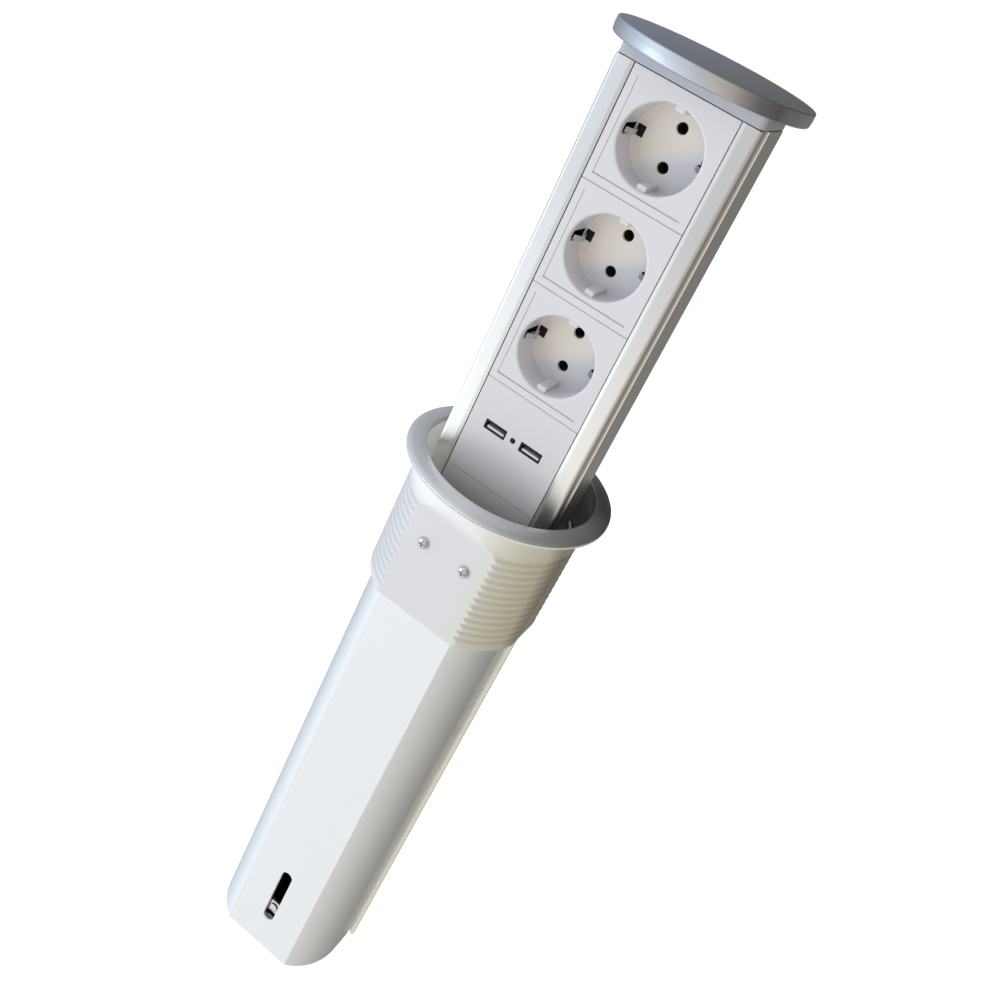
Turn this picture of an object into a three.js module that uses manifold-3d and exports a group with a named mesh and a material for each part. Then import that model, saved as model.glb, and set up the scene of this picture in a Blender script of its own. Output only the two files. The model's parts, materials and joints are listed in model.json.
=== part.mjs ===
// Pull-up desk power tower: a socket column with a round cap that slides up out of a
// threaded collar and a long under-desk casing.
//
// Frame, in millimetres: +Z is up along the column, -Y is the front with the sockets.
// The origin is on the collar's axis, on the underside of its flange, which is the
// level of the desk top. The column is modelled pulled all the way up.

import * as THREE from 'three';
import { mergeVertices } from 'three/addons/utils/BufferGeometryUtils.js';
import Module from 'manifold-3d';

const wasm = await Module();
wasm.setup();

// ---------------------------------------------------------------- driving dimensions

const GAP = 0.3;                 // play between pieces that touch
const MODULE = 53;               // height of one socket or USB module
const SOCKETS = 3;
const PANEL_TOP = 211;           // top edge of the top socket plate
const PANEL_HALF = 26.2;         // half the width of the white plates
const PANEL_Y = -21.7;           // front face of the white plates
const PLATE = 2.5;               // thickness of the white plates

const COLUMN_HALF = 35.9;        // half the width over the rails
const COLUMN_FRONT = -22.05;
const COLUMN_BACK = 16;
const RAIL_WALL = 2.1;
const RAIL_TOP = PANEL_TOP;
const CHANNEL_X = 30.9;          // screw channels inside the rails
const CHANNEL_Y = 6;
const CHANNEL_R = 3.4;
const HOOK_X = 29.5;             // the rails hold the back panel inside this

const HEAD_TOP = 217.1;
const CAP_R = 46.9;
const CAP_BOTTOM = 217.4;
const CAP_TOP = 224.3;
const CAP_SCREW_X = 14;
const CAP_SCREW_Y = 4;

const FOOT_TOP = -56;
const FOOT_BOTTOM = -68;
const FOOT_HALF = 37.7;

const RECESS_R = 19.5;           // socket recess
const RECESS_DEPTH = 17.5;
const CUP_WALL = 1.8;
const PIN_SPACING = 19;
const PIN_HOLE_R = 2.7;
const BAR_FRONT = 9.2;           // busbars, behind the contact carriers
const BAR_BACK = 10.2;
const LINE_HALF = 22.3;          // engraved line around each socket

const USB_Z = 29.3;
const USB_SPACING = 20.9;
const USB_CENTRE_X = -0.5;
const USB_W = 12.2;
const USB_H = 5.2;
const LED_R = 1.4;

const FLANGE_R = 56.4;
const FLANGE_TOP = 4.6;
const LIP_TOP = 1.3;             // the collar's cream flange, under the silver ring
const MOUTH_R = 46.5;            // the collar's mouth, and the hole in its flange
const FLARE_R = 51.4;            // the flare, just under the flange
const COLLAR_R = 47.6;           // over the thread crests
const COLLAR_BOTTOM = -77.3;
const COLLAR_FLAT = 40.5;        // flats on the front and the back
const SIDE_FLAT_TOP = 46.9;      // flats on the sides lean in a little towards the bottom
const SIDE_FLAT_BOTTOM = 45.7;
const SIDE_BORE = 44.4;          // half the bore's width between the side walls
const COLLAR_BORE_R = 45.7;
const COLLAR_LEDGE = -64;        // below this the collar grips the casing
const FLAT_TOP = -19;
const FLAT_WALL = 1.3;
const THREADS = 13;
const THREAD_TOP = -17.2;
const THREAD_PITCH = 4.4;
const THREAD_DEPTH = 0.9;

const CASING_HALF = 40.2;
const CASING_FLAT = 38.9;        // front and back flats of the casing
const CASING_FLAT_HALF = 23;
const CASING_ARC_Y = 10;         // where the side arcs run into the straight sides
const CASING_WALL = 1.6;
const CASING_TOP = -20;
const CASING_BOTTOM = -356.3;
const SPLIT_FRONT = 3.4;         // the two shells stop here, on each side of the strip
const SPLIT_BACK = 7.8;
const STRIP_OUT = 43.6;
const STRIP_BOTTOM = -354;

const SLOT_W = 7;
const SLOT_TOP = -290;
const SLOT_BOTTOM = -334;

const SCREW_X = 12.5;            // collar screws
const SCREW_Z = -35.8;
const SCREW_HEAD_R = 3.2;
const SCREW_SHANK_R = 1.5;
const SCREW_HOLE_R = 1.9;

const GUIDE_TOP = -20;
const PLUG_TOP = -346;
const PLUG_BOTTOM = -355.8;
const PLUG_SCREW_X = 26;
const OUTLET_R = 8.35;           // hole for the cable grommet
const ANCHOR_SCREW_Z = -325.5;
const PAD_X = 24;                // friction pads and their springs

// ------------------------------------------------------------------------- materials

function finish(color, roughness, metalness) {
  return new THREE.MeshStandardMaterial({ color, roughness, metalness });
}

const whitePlastic = finish(0xe9e8ef, 0.35, 0);
const greyPlastic = finish(0xc3c5cf, 0.45, 0);
const creamPlastic = finish(0xe3e1d6, 0.4, 0);
const guidePlastic = finish(0x55575c, 0.6, 0);
const blackPlastic = finish(0x17181a, 0.5, 0);
const rubber = finish(0x202124, 0.85, 0);
const felt = finish(0x3a3c40, 0.95, 0);
const satinAluminium = finish(0xc9cccf, 0.35, 1);
const capAluminium = finish(0x8b8f9b, 0.35, 1);
const silverCoat = finish(0xe6eaee, 0.35, 0.2);
const steel = finish(0xb9bcc0, 0.25, 1);
const brass = finish(0xc8a75a, 0.35, 1);
const boardGreen = finish(0x2c5a3a, 0.6, 0);

// ------------------------------------------------------------------ solids and shapes

// Signed volume of an indexed triangle mesh; negative when its faces point inwards.
function signedVolume(positions, index) {
  let sum = 0;
  const a = new THREE.Vector3();
  const b = new THREE.Vector3();
  const c = new THREE.Vector3();
  for (let i = 0; i < index.length; i += 3) {
    a.fromArray(positions, 3 * index[i]);
    b.fromArray(positions, 3 * index[i + 1]);
    c.fromArray(positions, 3 * index[i + 2]);
    sum += a.dot(b.cross(c));
  }
  return sum / 6;
}

function solid(geometry) {
  const bare = geometry.clone();
  bare.deleteAttribute('normal');
  bare.deleteAttribute('uv');
  const merged = mergeVertices(bare, 1e-4);
  const vertProperties = Float32Array.from(merged.attributes.position.array);
  const triVerts = Uint32Array.from(merged.index.array);
  if (signedVolume(vertProperties, triVerts) < 0) {
    for (let i = 0; i < triVerts.length; i += 3) {
      [triVerts[i], triVerts[i + 1]] = [triVerts[i + 1], triVerts[i]];
    }
  }
  return new wasm.Manifold(new wasm.Mesh({ numProp: 3, vertProperties, triVerts }));
}

function surface(body) {
  const mesh = body.getMesh();
  const geometry = new THREE.BufferGeometry();
  const positions = Float32Array.from(mesh.vertProperties);
  geometry.setAttribute('position', new THREE.BufferAttribute(positions, 3));
  geometry.setIndex(new THREE.BufferAttribute(Uint32Array.from(mesh.triVerts), 1));
  geometry.computeVertexNormals();
  return geometry;
}

function unite(first, ...others) {
  return others.reduce((sum, other) => sum.add(other), first);
}

function cut(first, ...tools) {
  return tools.reduce((left, tool) => left.subtract(tool), first);
}

// Box between two corners.
function block(x0, x1, y0, y1, z0, z1) {
  const geometry = new THREE.BoxGeometry(x1 - x0, y1 - y0, z1 - z0);
  geometry.translate((x0 + x1) / 2, (y0 + y1) / 2, (z0 + z1) / 2);
  return solid(geometry);
}

function outline(points) {
  return new THREE.Shape(points.map(([x, y]) => new THREE.Vector2(x, y)));
}

// Plan outline (x, y) raised from z0 to z1.
function raise(shape, z0, z1, curveSegments = 12) {
  const options = { depth: z1 - z0, bevelEnabled: false, curveSegments };
  const geometry = new THREE.ExtrudeGeometry(shape, options);
  geometry.translate(0, 0, z0);
  return solid(geometry);
}

// Front-view outline (x, z) carried from y0 back to y1.
function carry(shape, y0, y1, curveSegments = 12) {
  const options = { depth: y1 - y0, bevelEnabled: false, curveSegments };
  const geometry = new THREE.ExtrudeGeometry(shape, options);
  geometry.rotateX(Math.PI / 2);
  geometry.translate(0, y1, 0);
  return solid(geometry);
}

// Side-view outline (y, z) carried from x0 to x1.
function across(shape, x0, x1) {
  const options = { depth: x1 - x0, bevelEnabled: false };
  const geometry = new THREE.ExtrudeGeometry(shape, options);
  geometry.rotateX(Math.PI / 2);
  geometry.rotateZ(Math.PI / 2);
  geometry.translate(x0, 0, 0);
  return solid(geometry);
}

function rodZ(r, z0, z1, x, y, segments = 24) {
  const geometry = new THREE.CylinderGeometry(r, r, z1 - z0, segments);
  geometry.rotateX(Math.PI / 2);
  geometry.translate(x, y, (z0 + z1) / 2);
  return solid(geometry);
}

function rodY(r, y0, y1, x, z, segments = 24) {
  const geometry = new THREE.CylinderGeometry(r, r, y1 - y0, segments);
  geometry.translate(x, (y0 + y1) / 2, z);
  return solid(geometry);
}

// Closed profile (radius, height) turned about Z.
function turn(profile, segments) {
  const points = profile.map(([r, z]) => new THREE.Vector2(r, z));
  const geometry = new THREE.LatheGeometry([...points, points[0]], segments);
  geometry.rotateX(Math.PI / 2);
  return solid(geometry);
}

// The same profile turned about a line along Y through (x, z); heights run along +Y.
function turnY(profile, segments, x, z) {
  const points = profile.map(([r, y]) => new THREE.Vector2(r, y));
  const geometry = new THREE.LatheGeometry([...points, points[0]], segments);
  geometry.translate(x, 0, z);
  return solid(geometry);
}

const model = new THREE.Group();
const housing = new THREE.Group();
const column = new THREE.Group();
model.add(housing, column);

function place(group, name, body, material) {
  const mesh = new THREE.Mesh(surface(body), material);
  mesh.name = name;
  group.add(mesh);
}

// ---------------------------------------------------------------------------- casing

// Plan outline of the casing, grown or shrunk by an offset: flats on the front and the
// back, arcs to straight sides, and a crisp edge where an arc meets its flat.
function casingOutline(offset) {
  const side = CASING_HALF + offset;
  const flat = CASING_FLAT + offset;
  const run = CASING_HALF - CASING_FLAT_HALF;
  const rise = CASING_FLAT - CASING_ARC_Y;
  const r = (run * run + rise * rise) / (2 * run);
  const radius = r + offset;
  const centreX = CASING_HALF - r;
  const spread = Math.asin((flat - CASING_ARC_Y) / radius);
  const points = [];
  const steps = 8;
  for (const [sx, sy] of [[1, -1], [1, 1], [-1, 1], [-1, -1]]) {
    for (let i = 0; i <= steps; i++) {
      const along = sx * sy < 0 ? 1 - i / steps : i / steps;
      const angle = spread * along;
      const x = centreX + radius * Math.cos(angle);
      const y = CASING_ARC_Y + radius * Math.sin(angle);
      points.push([sx * Math.min(x, side), sy * Math.min(y, flat)]);
    }
  }
  return outline(points);
}

function casingTube() {
  const outer = raise(casingOutline(0), CASING_BOTTOM, CASING_TOP);
  const inner = raise(casingOutline(-CASING_WALL), CASING_BOTTOM - 1, CASING_TOP + 1);
  return outer.subtract(inner);
}

function slotOutline() {
  const r = SLOT_W / 2;
  const shape = new THREE.Shape();
  shape.moveTo(r, SLOT_BOTTOM + r);
  shape.lineTo(r, SLOT_TOP - r);
  shape.absarc(0, SLOT_TOP - r, r, 0, Math.PI, false);
  shape.lineTo(-r, SLOT_BOTTOM + r);
  shape.absarc(0, SLOT_BOTTOM + r, r, Math.PI, 2 * Math.PI, false);
  return shape;
}

function buildShells() {
  const reach = CASING_HALF + 5;
  const z0 = CASING_BOTTOM - 1;
  const tube = casingTube();
  const front = block(-reach, reach, -reach, SPLIT_FRONT, z0, 0);
  const back = block(-reach, reach, SPLIT_BACK, reach, z0, 0);
  const holes = (y0, y1) => [-1, 1].map((s) => rodY(SCREW_HOLE_R, y0, y1, s * SCREW_X, SCREW_Z, 16));
  const slot = carry(slotOutline(), -CASING_FLAT - 1, -CASING_FLAT + CASING_WALL + 1, 6);
  const frontShell = cut(tube.intersect(front), slot, ...holes(-50, -30));
  const rearShell = cut(tube.intersect(back), ...holes(30, 50));
  place(housing, 'front_shell', frontShell, silverCoat);
  place(housing, 'rear_shell', rearShell, silverCoat);
}

// Plastic strip that closes the seam between the shells and stands proud of them.
function buildJointStrips() {
  const y0 = SPLIT_FRONT + GAP;
  const y1 = SPLIT_BACK - GAP;
  const inside = CASING_HALF - CASING_WALL;
  const groove = STRIP_OUT - 1.1;
  const points = [
    [inside, y0], [groove - 0.5, y0], [groove - 0.3, y0 + 0.4], [groove, y0 + 0.4],
    [groove + 0.2, y0], [STRIP_OUT - 0.3, y0], [STRIP_OUT, y0 + 0.5],
    [STRIP_OUT, y1 - 0.5], [STRIP_OUT - 0.5, y1], [inside, y1],
  ];
  const top = COLLAR_BOTTOM - GAP;
  for (const [side, s] of [['left', -1], ['right', 1]]) {
    const body = raise(outline(points.map(([x, y]) => [s * x, y])), STRIP_BOTTOM, top);
    place(housing, `joint_strip_${side}`, body, creamPlastic);
  }
}

// Plug that closes the casing's lower end, with two posts for the anchor bars.
function buildPlug() {
  const plate = raise(casingOutline(-CASING_WALL - GAP), PLUG_BOTTOM, PLUG_TOP);
  const posts = [-1, 1].map((s) => {
    const edges = [s * 12.5, s * 18].sort((a, b) => a - b);
    return block(edges[0], edges[1], -33.6, -27, PLUG_TOP - 1, -318);
  });
  const outlet = rodZ(OUTLET_R, PLUG_BOTTOM - 1, PLUG_TOP + 1, 0, 0, 24);
  const screwHoles = [-1, 1].map((s) => (
    rodZ(SCREW_HOLE_R, PLUG_BOTTOM - 1, -348, s * PLUG_SCREW_X, 0, 16)
  ));
  place(housing, 'bottom_plug', cut(unite(plate, ...posts), outlet, ...screwHoles), blackPlastic);
  for (const [side, s] of [['left', -1], ['right', 1]]) {
    const head = turn([[0, -358], [2.2, -358], [3.1, -357.2], [3.1, -356.1], [0, -356.1]], 20);
    const shank = rodZ(SCREW_SHANK_R, -356.5, -348.6, 0, 0, 14);
    const cross = unite(block(-2, 2, -0.4, 0.4, -359, -357), block(-0.4, 0.4, -2, 2, -359, -357));
    const screw = unite(head, shank).subtract(cross).translate([s * PLUG_SCREW_X, 0, 0]);
    place(housing, `plug_screw_${side}`, screw, steel);
  }
  const grommet = turn([
    [4.2, -359.5], [9.6, -359.5], [10.6, -358.6], [10.6, -356.1], [8, -356.1], [8, -345.7],
    [9.4, -345.7], [9.4, -343.8], [7, -342.8], [4.2, -342.8],
  ], 24);
  place(housing, 'cable_grommet', grommet, rubber);
}

// Two steel bars behind the slot, on the plug's posts; the screw faces the slot.
function buildAnchor() {
  const y0 = -36.9;
  const y1 = -33.9;
  const bar = (z0, z1) => block(-18, 18, y0 + 0.8, y1, z0, z1);
  const upper = bar(-330, -321).subtract(rodY(SCREW_HOLE_R, -40, -30, 0, ANCHOR_SCREW_Z, 16));
  place(housing, 'anchor_bar_upper', upper, steel);
  place(housing, 'anchor_bar_lower', bar(-341, -334), steel);
  const screw = unite(
    rodY(2.8, y0 - 0.3, y0 + 0.5, 0, ANCHOR_SCREW_Z, 20),
    rodY(SCREW_SHANK_R, y0, -28, 0, ANCHOR_SCREW_Z, 14),
  );
  const cross = block(-0.4, 0.4, y0 - 1, y0 + 0.1, ANCHOR_SCREW_Z - 1.8, ANCHOR_SCREW_Z + 1.8);
  place(housing, 'anchor_screw', screw.subtract(cross), steel);
}

// ---------------------------------------------------------------------------- collar

// Silver ring that covers the collar's flange and shows above the desk.
function buildFlangeRing() {
  const seat = LIP_TOP + GAP;
  const inner = MOUTH_R + 0.1;
  const ring = turn([
    [inner, seat], [inner, FLANGE_TOP - 1], [inner + 0.3, FLANGE_TOP - 0.3],
    [inner + 1.2, FLANGE_TOP], [FLANGE_R - 5.9, FLANGE_TOP - 0.1],
    [FLANGE_R - 3.1, FLANGE_TOP - 0.6], [FLANGE_R - 1, FLANGE_TOP - 1.5],
    [FLANGE_R - 0.2, FLANGE_TOP - 2.1], [FLANGE_R, FLANGE_TOP - 2.6], [FLANGE_R - 0.4, seat],
  ], 56);
  place(housing, 'flange_ring', ring, silverCoat);
}

// Flat cream flange that lies on the desk, with a shallow step that the collar sits in.
function buildCollarFlange() {
  const step = FLARE_R + GAP;
  const disc = turn([
    [MOUTH_R, GAP], [MOUTH_R, LIP_TOP], [FLANGE_R, LIP_TOP], [FLANGE_R, 0], [step, 0], [step, GAP],
  ], 56);
  place(housing, 'collar_flange', disc, creamPlastic);
}

// Outer profile from under the flange down over the flare and the thread ribs.
function collarProfile() {
  const points = [[0, 0], [FLARE_R, 0], [49.6, -3], [48.2, -7.5], [COLLAR_R, -13]];
  const root = COLLAR_R - THREAD_DEPTH;
  for (let i = 0; i < THREADS; i++) {
    const z = THREAD_TOP - i * THREAD_PITCH;
    points.push([COLLAR_R, z], [root, z - 1.5], [COLLAR_R, z - 3]);
  }
  points.push([COLLAR_R, COLLAR_BOTTOM + 0.5], [COLLAR_R - 0.5, COLLAR_BOTTOM], [0, COLLAR_BOTTOM]);
  return points;
}

// Everything in front of this side-view line is cut away for the front flat.
function flatCutter(y, side) {
  const points = [
    [-70, -90], [-y, -90], [-y, FLAT_TOP], [-y - 2.5, -15.5], [-52.5, -3.4], [-70, -3.4],
  ];
  return across(outline(points.map(([a, z]) => [side * a, z])), -60, 60);
}

// The same for a side flat: everything outside this front-view line goes.
function sideCutter(s) {
  const lean = (SIDE_FLAT_TOP - SIDE_FLAT_BOTTOM) / (FLAT_TOP - COLLAR_BOTTOM);
  const low = COLLAR_BOTTOM - 5;
  const points = [
    [70, low], [SIDE_FLAT_BOTTOM - 5 * lean, low], [SIDE_FLAT_TOP, FLAT_TOP],
    [COLLAR_R + 0.2, FLAT_TOP + 2], [70, FLAT_TOP + 2],
  ];
  return carry(outline(points.map(([x, z]) => [s * x, z])), -30, 30);
}

function collarHollow() {
  const bore = turn([
    [0, 1], [MOUTH_R, 1], [MOUTH_R, -0.8], [COLLAR_BORE_R, -3],
    [COLLAR_BORE_R, COLLAR_LEDGE], [0, COLLAR_LEDGE],
  ], 44);
  const flat = COLLAR_FLAT - FLAT_WALL;
  const side = [[-flat, -80], [-flat, -20], [-46.5, -11], [-46.5, 9]];
  const mirror = side.map(([y, z]) => [-y, z]).reverse();
  const between = across(outline([...side, ...mirror]), -60, 60);
  const wall = [[-SIDE_BORE, -80], [-SIDE_BORE, -20], [-47, -12], [-47, 9]];
  const opposite = wall.map(([x, z]) => [-x, z]).reverse();
  const sideways = carry(outline([...wall, ...opposite]), -60, 60);
  const grip = raise(casingOutline(GAP), COLLAR_BOTTOM - 1, COLLAR_LEDGE + 0.5);
  return unite(bore.intersect(between).intersect(sideways), grip);
}

function collarScrew(side) {
  const y = side * COLLAR_FLAT;
  const out = (d) => y + side * d;
  const headProfile = [
    [0, out(2.1)], [1.2, out(2.05)], [2.4, out(1.6)], [SCREW_HEAD_R, out(0.8)],
    [SCREW_HEAD_R, out(0.2)], [0, out(0.2)],
  ];
  const head = turnY(headProfile, 24, 0, 0);
  const ends = [out(0.6), out(-12)].sort((a, b) => a - b);
  const shank = rodY(SCREW_SHANK_R, ends[0], ends[1], 0, 0, 14);
  const depth = [out(1.1), out(3)].sort((a, b) => a - b);
  const crossA = block(-1.9, 1.9, depth[0], depth[1], -0.4, 0.4);
  const crossB = block(-0.4, 0.4, depth[0], depth[1], -1.9, 1.9);
  return unite(head, shank).subtract(unite(crossA, crossB));
}

function buildCollar() {
  const holes = [-1, 1].map((s) => rodY(SCREW_HOLE_R, -50, 50, s * SCREW_X, SCREW_Z, 16));
  const flats = [1, -1].flatMap((s) => [flatCutter(COLLAR_FLAT, s), sideCutter(s)]);
  const body = cut(turn(collarProfile(), 44), ...flats, collarHollow(), ...holes);
  place(housing, 'collar', body, creamPlastic);
  for (const [face, side] of [['front', -1], ['rear', 1]]) {
    for (const [hand, s] of [['left', -1], ['right', 1]]) {
      const screw = collarScrew(side).translate([s * SCREW_X, 0, SCREW_Z]);
      place(housing, `collar_screw_${face}_${hand}`, screw, steel);
    }
  }
}

// Two guides in the casing's mouth: the column slides between them, and the column's
// foot comes up against their lower faces.
function buildGuides() {
  const outer = raise(casingOutline(-CASING_WALL - GAP), FOOT_TOP + GAP, GUIDE_TOP);
  const opening = raise(outline(columnOutline(-0.45)), -60, 0);
  const holes = [-1, 1].map((s) => rodY(SCREW_HOLE_R, -50, 50, s * SCREW_X, SCREW_Z, 16));
  const pockets = [-1, 1].map((s) => block(s * PAD_X - 5.6, s * PAD_X + 5.6, 15, 22, -50, -26));
  const ring = cut(outer, opening, ...holes, ...pockets);
  const front = ring.intersect(block(-60, 60, -60, -12, -60, 0));
  const rear = ring.intersect(block(-60, 60, 6, 60, -60, 0));
  place(housing, 'guide_front', front, guidePlastic);
  place(housing, 'guide_rear', rear, guidePlastic);
  for (const [side, s] of [['left', -1], ['right', 1]]) {
    const x = s * PAD_X;
    const pad = block(x - 5, x + 5, COLUMN_BACK + 0.25, COLUMN_BACK + 2.4, -48, -28);
    place(housing, `friction_pad_${side}`, pad, felt);
    const bow = outline([
      [18.7, -48], [19.2, -48], [20.9, -38], [19.2, -28], [18.7, -28], [20.4, -38],
    ]);
    const spring = across(bow, x - 4, x + 4);
    place(housing, `friction_spring_${side}`, spring, steel);
  }
}

// ---------------------------------------------------------------------------- column

function buildCap() {
  const disc = turn([
    [0, CAP_BOTTOM], [CAP_R - 1.2, CAP_BOTTOM], [CAP_R - 0.2, CAP_BOTTOM + 0.7],
    [CAP_R, CAP_BOTTOM + 2.6], [CAP_R, CAP_TOP - 1], [CAP_R - 0.9, CAP_TOP], [0, CAP_TOP],
  ], 56);
  const holes = [-1, 1].map((s) => (
    rodZ(SCREW_HOLE_R, CAP_BOTTOM - 1, 221.6, s * CAP_SCREW_X, CAP_SCREW_Y, 16)
  ));
  place(column, 'cap', cut(disc, ...holes), capAluminium);

  const head = raise(outline(columnOutline(0.25)), RAIL_TOP + GAP, HEAD_TOP);
  const drops = [-1, 1].map((s) => rodZ(SCREW_HOLE_R, 205, 220, s * CHANNEL_X, CHANNEL_Y, 16));
  const sinks = [-1, 1].map((s) => rodZ(CHANNEL_R, 214.3, 220, s * CHANNEL_X, CHANNEL_Y, 20));
  const through = [-1, 1].map((s) => (
    rodZ(SCREW_HOLE_R, 205, 220, s * CAP_SCREW_X, CAP_SCREW_Y, 16)
  ));
  place(column, 'head_block', cut(head, ...drops, ...sinks, ...through), greyPlastic);

  for (const [side, s] of [['left', -1], ['right', 1]]) {
    const capHead = rodZ(3, 208.6, RAIL_TOP, s * CAP_SCREW_X, CAP_SCREW_Y, 20);
    const capShank = rodZ(SCREW_SHANK_R, 210.5, 221.2, s * CAP_SCREW_X, CAP_SCREW_Y, 14);
    place(column, `cap_screw_${side}`, unite(capHead, capShank), steel);
    const headHead = rodZ(3, 214.6, 216.9, s * CHANNEL_X, CHANNEL_Y, 20);
    const headShank = rodZ(SCREW_SHANK_R, 203, 215, s * CHANNEL_X, CHANNEL_Y, 14);
    place(column, `head_screw_${side}`, unite(headHead, headShank), steel);
    const footHead = rodZ(3, -67.8, -65.6, s * CHANNEL_X, CHANNEL_Y, 20);
    const footShank = rodZ(SCREW_SHANK_R, -66, -46, s * CHANNEL_X, CHANNEL_Y, 14);
    place(column, `foot_screw_${side}`, unite(footHead, footShank), steel);
  }
}

// Plan outline of the whole column, drawn in by an inset.
function columnOutline(inset) {
  const x = COLUMN_HALF - inset;
  const front = COLUMN_FRONT + inset;
  const back = COLUMN_BACK - inset;
  const right = [
    [x - 2.9, front], [x - 1.2, front + 0.7], [x - 0.2, front + 2], [x, front + 3],
    [x, back - 2], [x - 0.6, back - 0.6], [x - 2, back],
  ];
  const left = right.map(([a, b]) => [-a, b]).reverse();
  return [...right, ...left];
}

// Aluminium rail: rounded front lip, a dark line behind it, a fine ridge on the side,
// a seat for the plates and a hook for the back panel.
function railOutline(s) {
  const x = COLUMN_HALF;
  const inner = COLUMN_HALF - RAIL_WALL;
  const lip = PANEL_HALF + GAP;
  const seat = PANEL_Y + PLATE + GAP;
  const points = [
    [lip, PANEL_Y + 0.05], [lip + 2, PANEL_Y - 0.2], [x - 2.9, COLUMN_FRONT],
    [x - 1.2, COLUMN_FRONT + 0.7], [x - 0.2, COLUMN_FRONT + 2], [x, COLUMN_FRONT + 3],
    [x - 0.1, -18.5], [x - 1.1, -18.3], [x - 1.1, -17.5], [x - 0.4, -17.2],
    [x - 0.4, -11.2], [x + 0.3, -10.8], [x + 0.3, -10.3], [x, -9.9],
    [x, COLUMN_BACK - 2], [x - 0.6, COLUMN_BACK - 0.6], [x - 2, COLUMN_BACK],
    [HOOK_X, COLUMN_BACK], [HOOK_X, COLUMN_BACK - 1.8], [inner, COLUMN_BACK - 1.8],
    [inner, seat + 1.9], [lip - 2.1, seat + 1.9], [lip - 2.1, seat], [lip, seat],
  ];
  return outline(points.map(([a, b]) => [s * a, b]));
}

function buildRails() {
  const z0 = FOOT_TOP + GAP;
  for (const [side, s] of [['left', -1], ['right', 1]]) {
    const profile = raise(railOutline(s), z0, RAIL_TOP);
    const channel = rodZ(CHANNEL_R, z0 + 0.5, RAIL_TOP - 0.5, s * CHANNEL_X, CHANNEL_Y, 20);
    const hole = rodZ(SCREW_HOLE_R, z0 - 1, RAIL_TOP + 1, s * CHANNEL_X, CHANNEL_Y, 16);
    place(column, `rail_${side}`, unite(profile, channel).subtract(hole), satinAluminium);
  }
  const edge = COLUMN_HALF - RAIL_WALL - GAP;
  const face = HOOK_X - GAP;
  const y = COLUMN_BACK - 1.8 - GAP;
  const back = outline([
    [-edge, y - 1.9], [edge, y - 1.9], [edge, y], [face, y], [face, COLUMN_BACK - 0.1],
    [-face, COLUMN_BACK - 0.1], [-face, y], [-edge, y],
  ]);
  place(column, 'back_panel', raise(back, z0, RAIL_TOP), satinAluminium);
}

// One socket plate, drawn around z = 0: plate, recess cup, guide ribs, pin holes,
// windows for the earth springs and the engraved line on two sides.
function socketPlate() {
  const half = MODULE / 2 - 0.1;
  const floor = PANEL_Y + RECESS_DEPTH;
  const back = floor + CUP_WALL;
  const plate = block(-PANEL_HALF, PANEL_HALF, PANEL_Y, PANEL_Y + PLATE, -half, half);
  const cup = rodY(RECESS_R + CUP_WALL, PANEL_Y + 1, back, 0, 0, 48);
  const recess = turnY([
    [0, PANEL_Y - 1], [RECESS_R + 1.7, PANEL_Y - 1], [RECESS_R, PANEL_Y + 0.7],
    [RECESS_R, floor - 1.5], [RECESS_R - 1.5, floor], [0, floor],
  ], 48, 0, 0);
  const ribs = [-1, 1].map((s) => {
    const z = [s * 17, s * (RECESS_R + 1)].sort((a, b) => a - b);
    return block(-2.4, 2.4, PANEL_Y + 2.2, floor + 0.5, z[0], z[1]);
  });
  const pins = [-1, 1].map((s) => rodY(PIN_HOLE_R, floor - 2, back + 1, 0, (s * PIN_SPACING) / 2));
  const windows = [-1, 1].map((s) => {
    const x = [s * 13.6, s * 24].sort((a, b) => a - b);
    return block(x[0], x[1], PANEL_Y + 3.6, back + 1, -3.3, 3.3);
  });
  const line = unite(
    block(-LINE_HALF - 0.25, -LINE_HALF + 0.25, PANEL_Y - 1, PANEL_Y + 0.45, -LINE_HALF, LINE_HALF),
    block(-LINE_HALF, LINE_HALF, PANEL_Y - 1, PANEL_Y + 0.45, -LINE_HALF - 0.25, -LINE_HALF + 0.25),
  );
  const body = unite(unite(plate, cup).subtract(recess), ...ribs);
  return cut(body, ...pins, ...windows, line);
}

// Earth spring: a steel bow behind the cup whose two arms reach up through the windows,
// with a tail through the carrier to the earth bar.
function earthSpring(z) {
  const t = 0.7;
  const y = PANEL_Y + RECESS_DEPTH + CUP_WALL + GAP;
  const armOut = [[18.7, -17.4], [19.4, -17.2], [17.6, -13.6], [17.4, -11], [18.6, -5.4], [18.6, y + t]];
  const armIn = [[17.9, y], [17.9, -5.4], [16.7, -11], [16.9, -13.7]];
  const tail = [[14.8, y + t], [14.8, 8.9], [14.1, 8.9], [14.1, y + t]];
  const leftOut = armOut.map(([a, b]) => [-a, b]);
  const leftIn = armIn.map(([a, b]) => [-a, b]);
  const points = [...leftOut, ...tail.reverse(), ...armOut.reverse(), ...armIn.reverse(), ...leftIn];
  return raise(outline(points), z - 2.8, z + 2.8);
}

function contactCarrier() {
  const body = block(-20, 20, -1.1, 8.9, -22, 22);
  const throats = [-1, 1].map((s) => rodY(2.75, -3, 2, 0, (s * PIN_SPACING) / 2, 20));
  const bores = [-1, 1].map((s) => rodY(3.6, 1.6, 10, 0, (s * PIN_SPACING) / 2, 20));
  const slot = block(13.7, 15.2, -3, 10, -3.2, 3.2);
  return cut(body, ...throats, ...bores, slot);
}

function contactSleeve() {
  return turnY([[2.5, 2], [3.2, 2], [3.2, 8.7], [2.5, 8.7]], 20, 0, 0);
}

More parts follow.
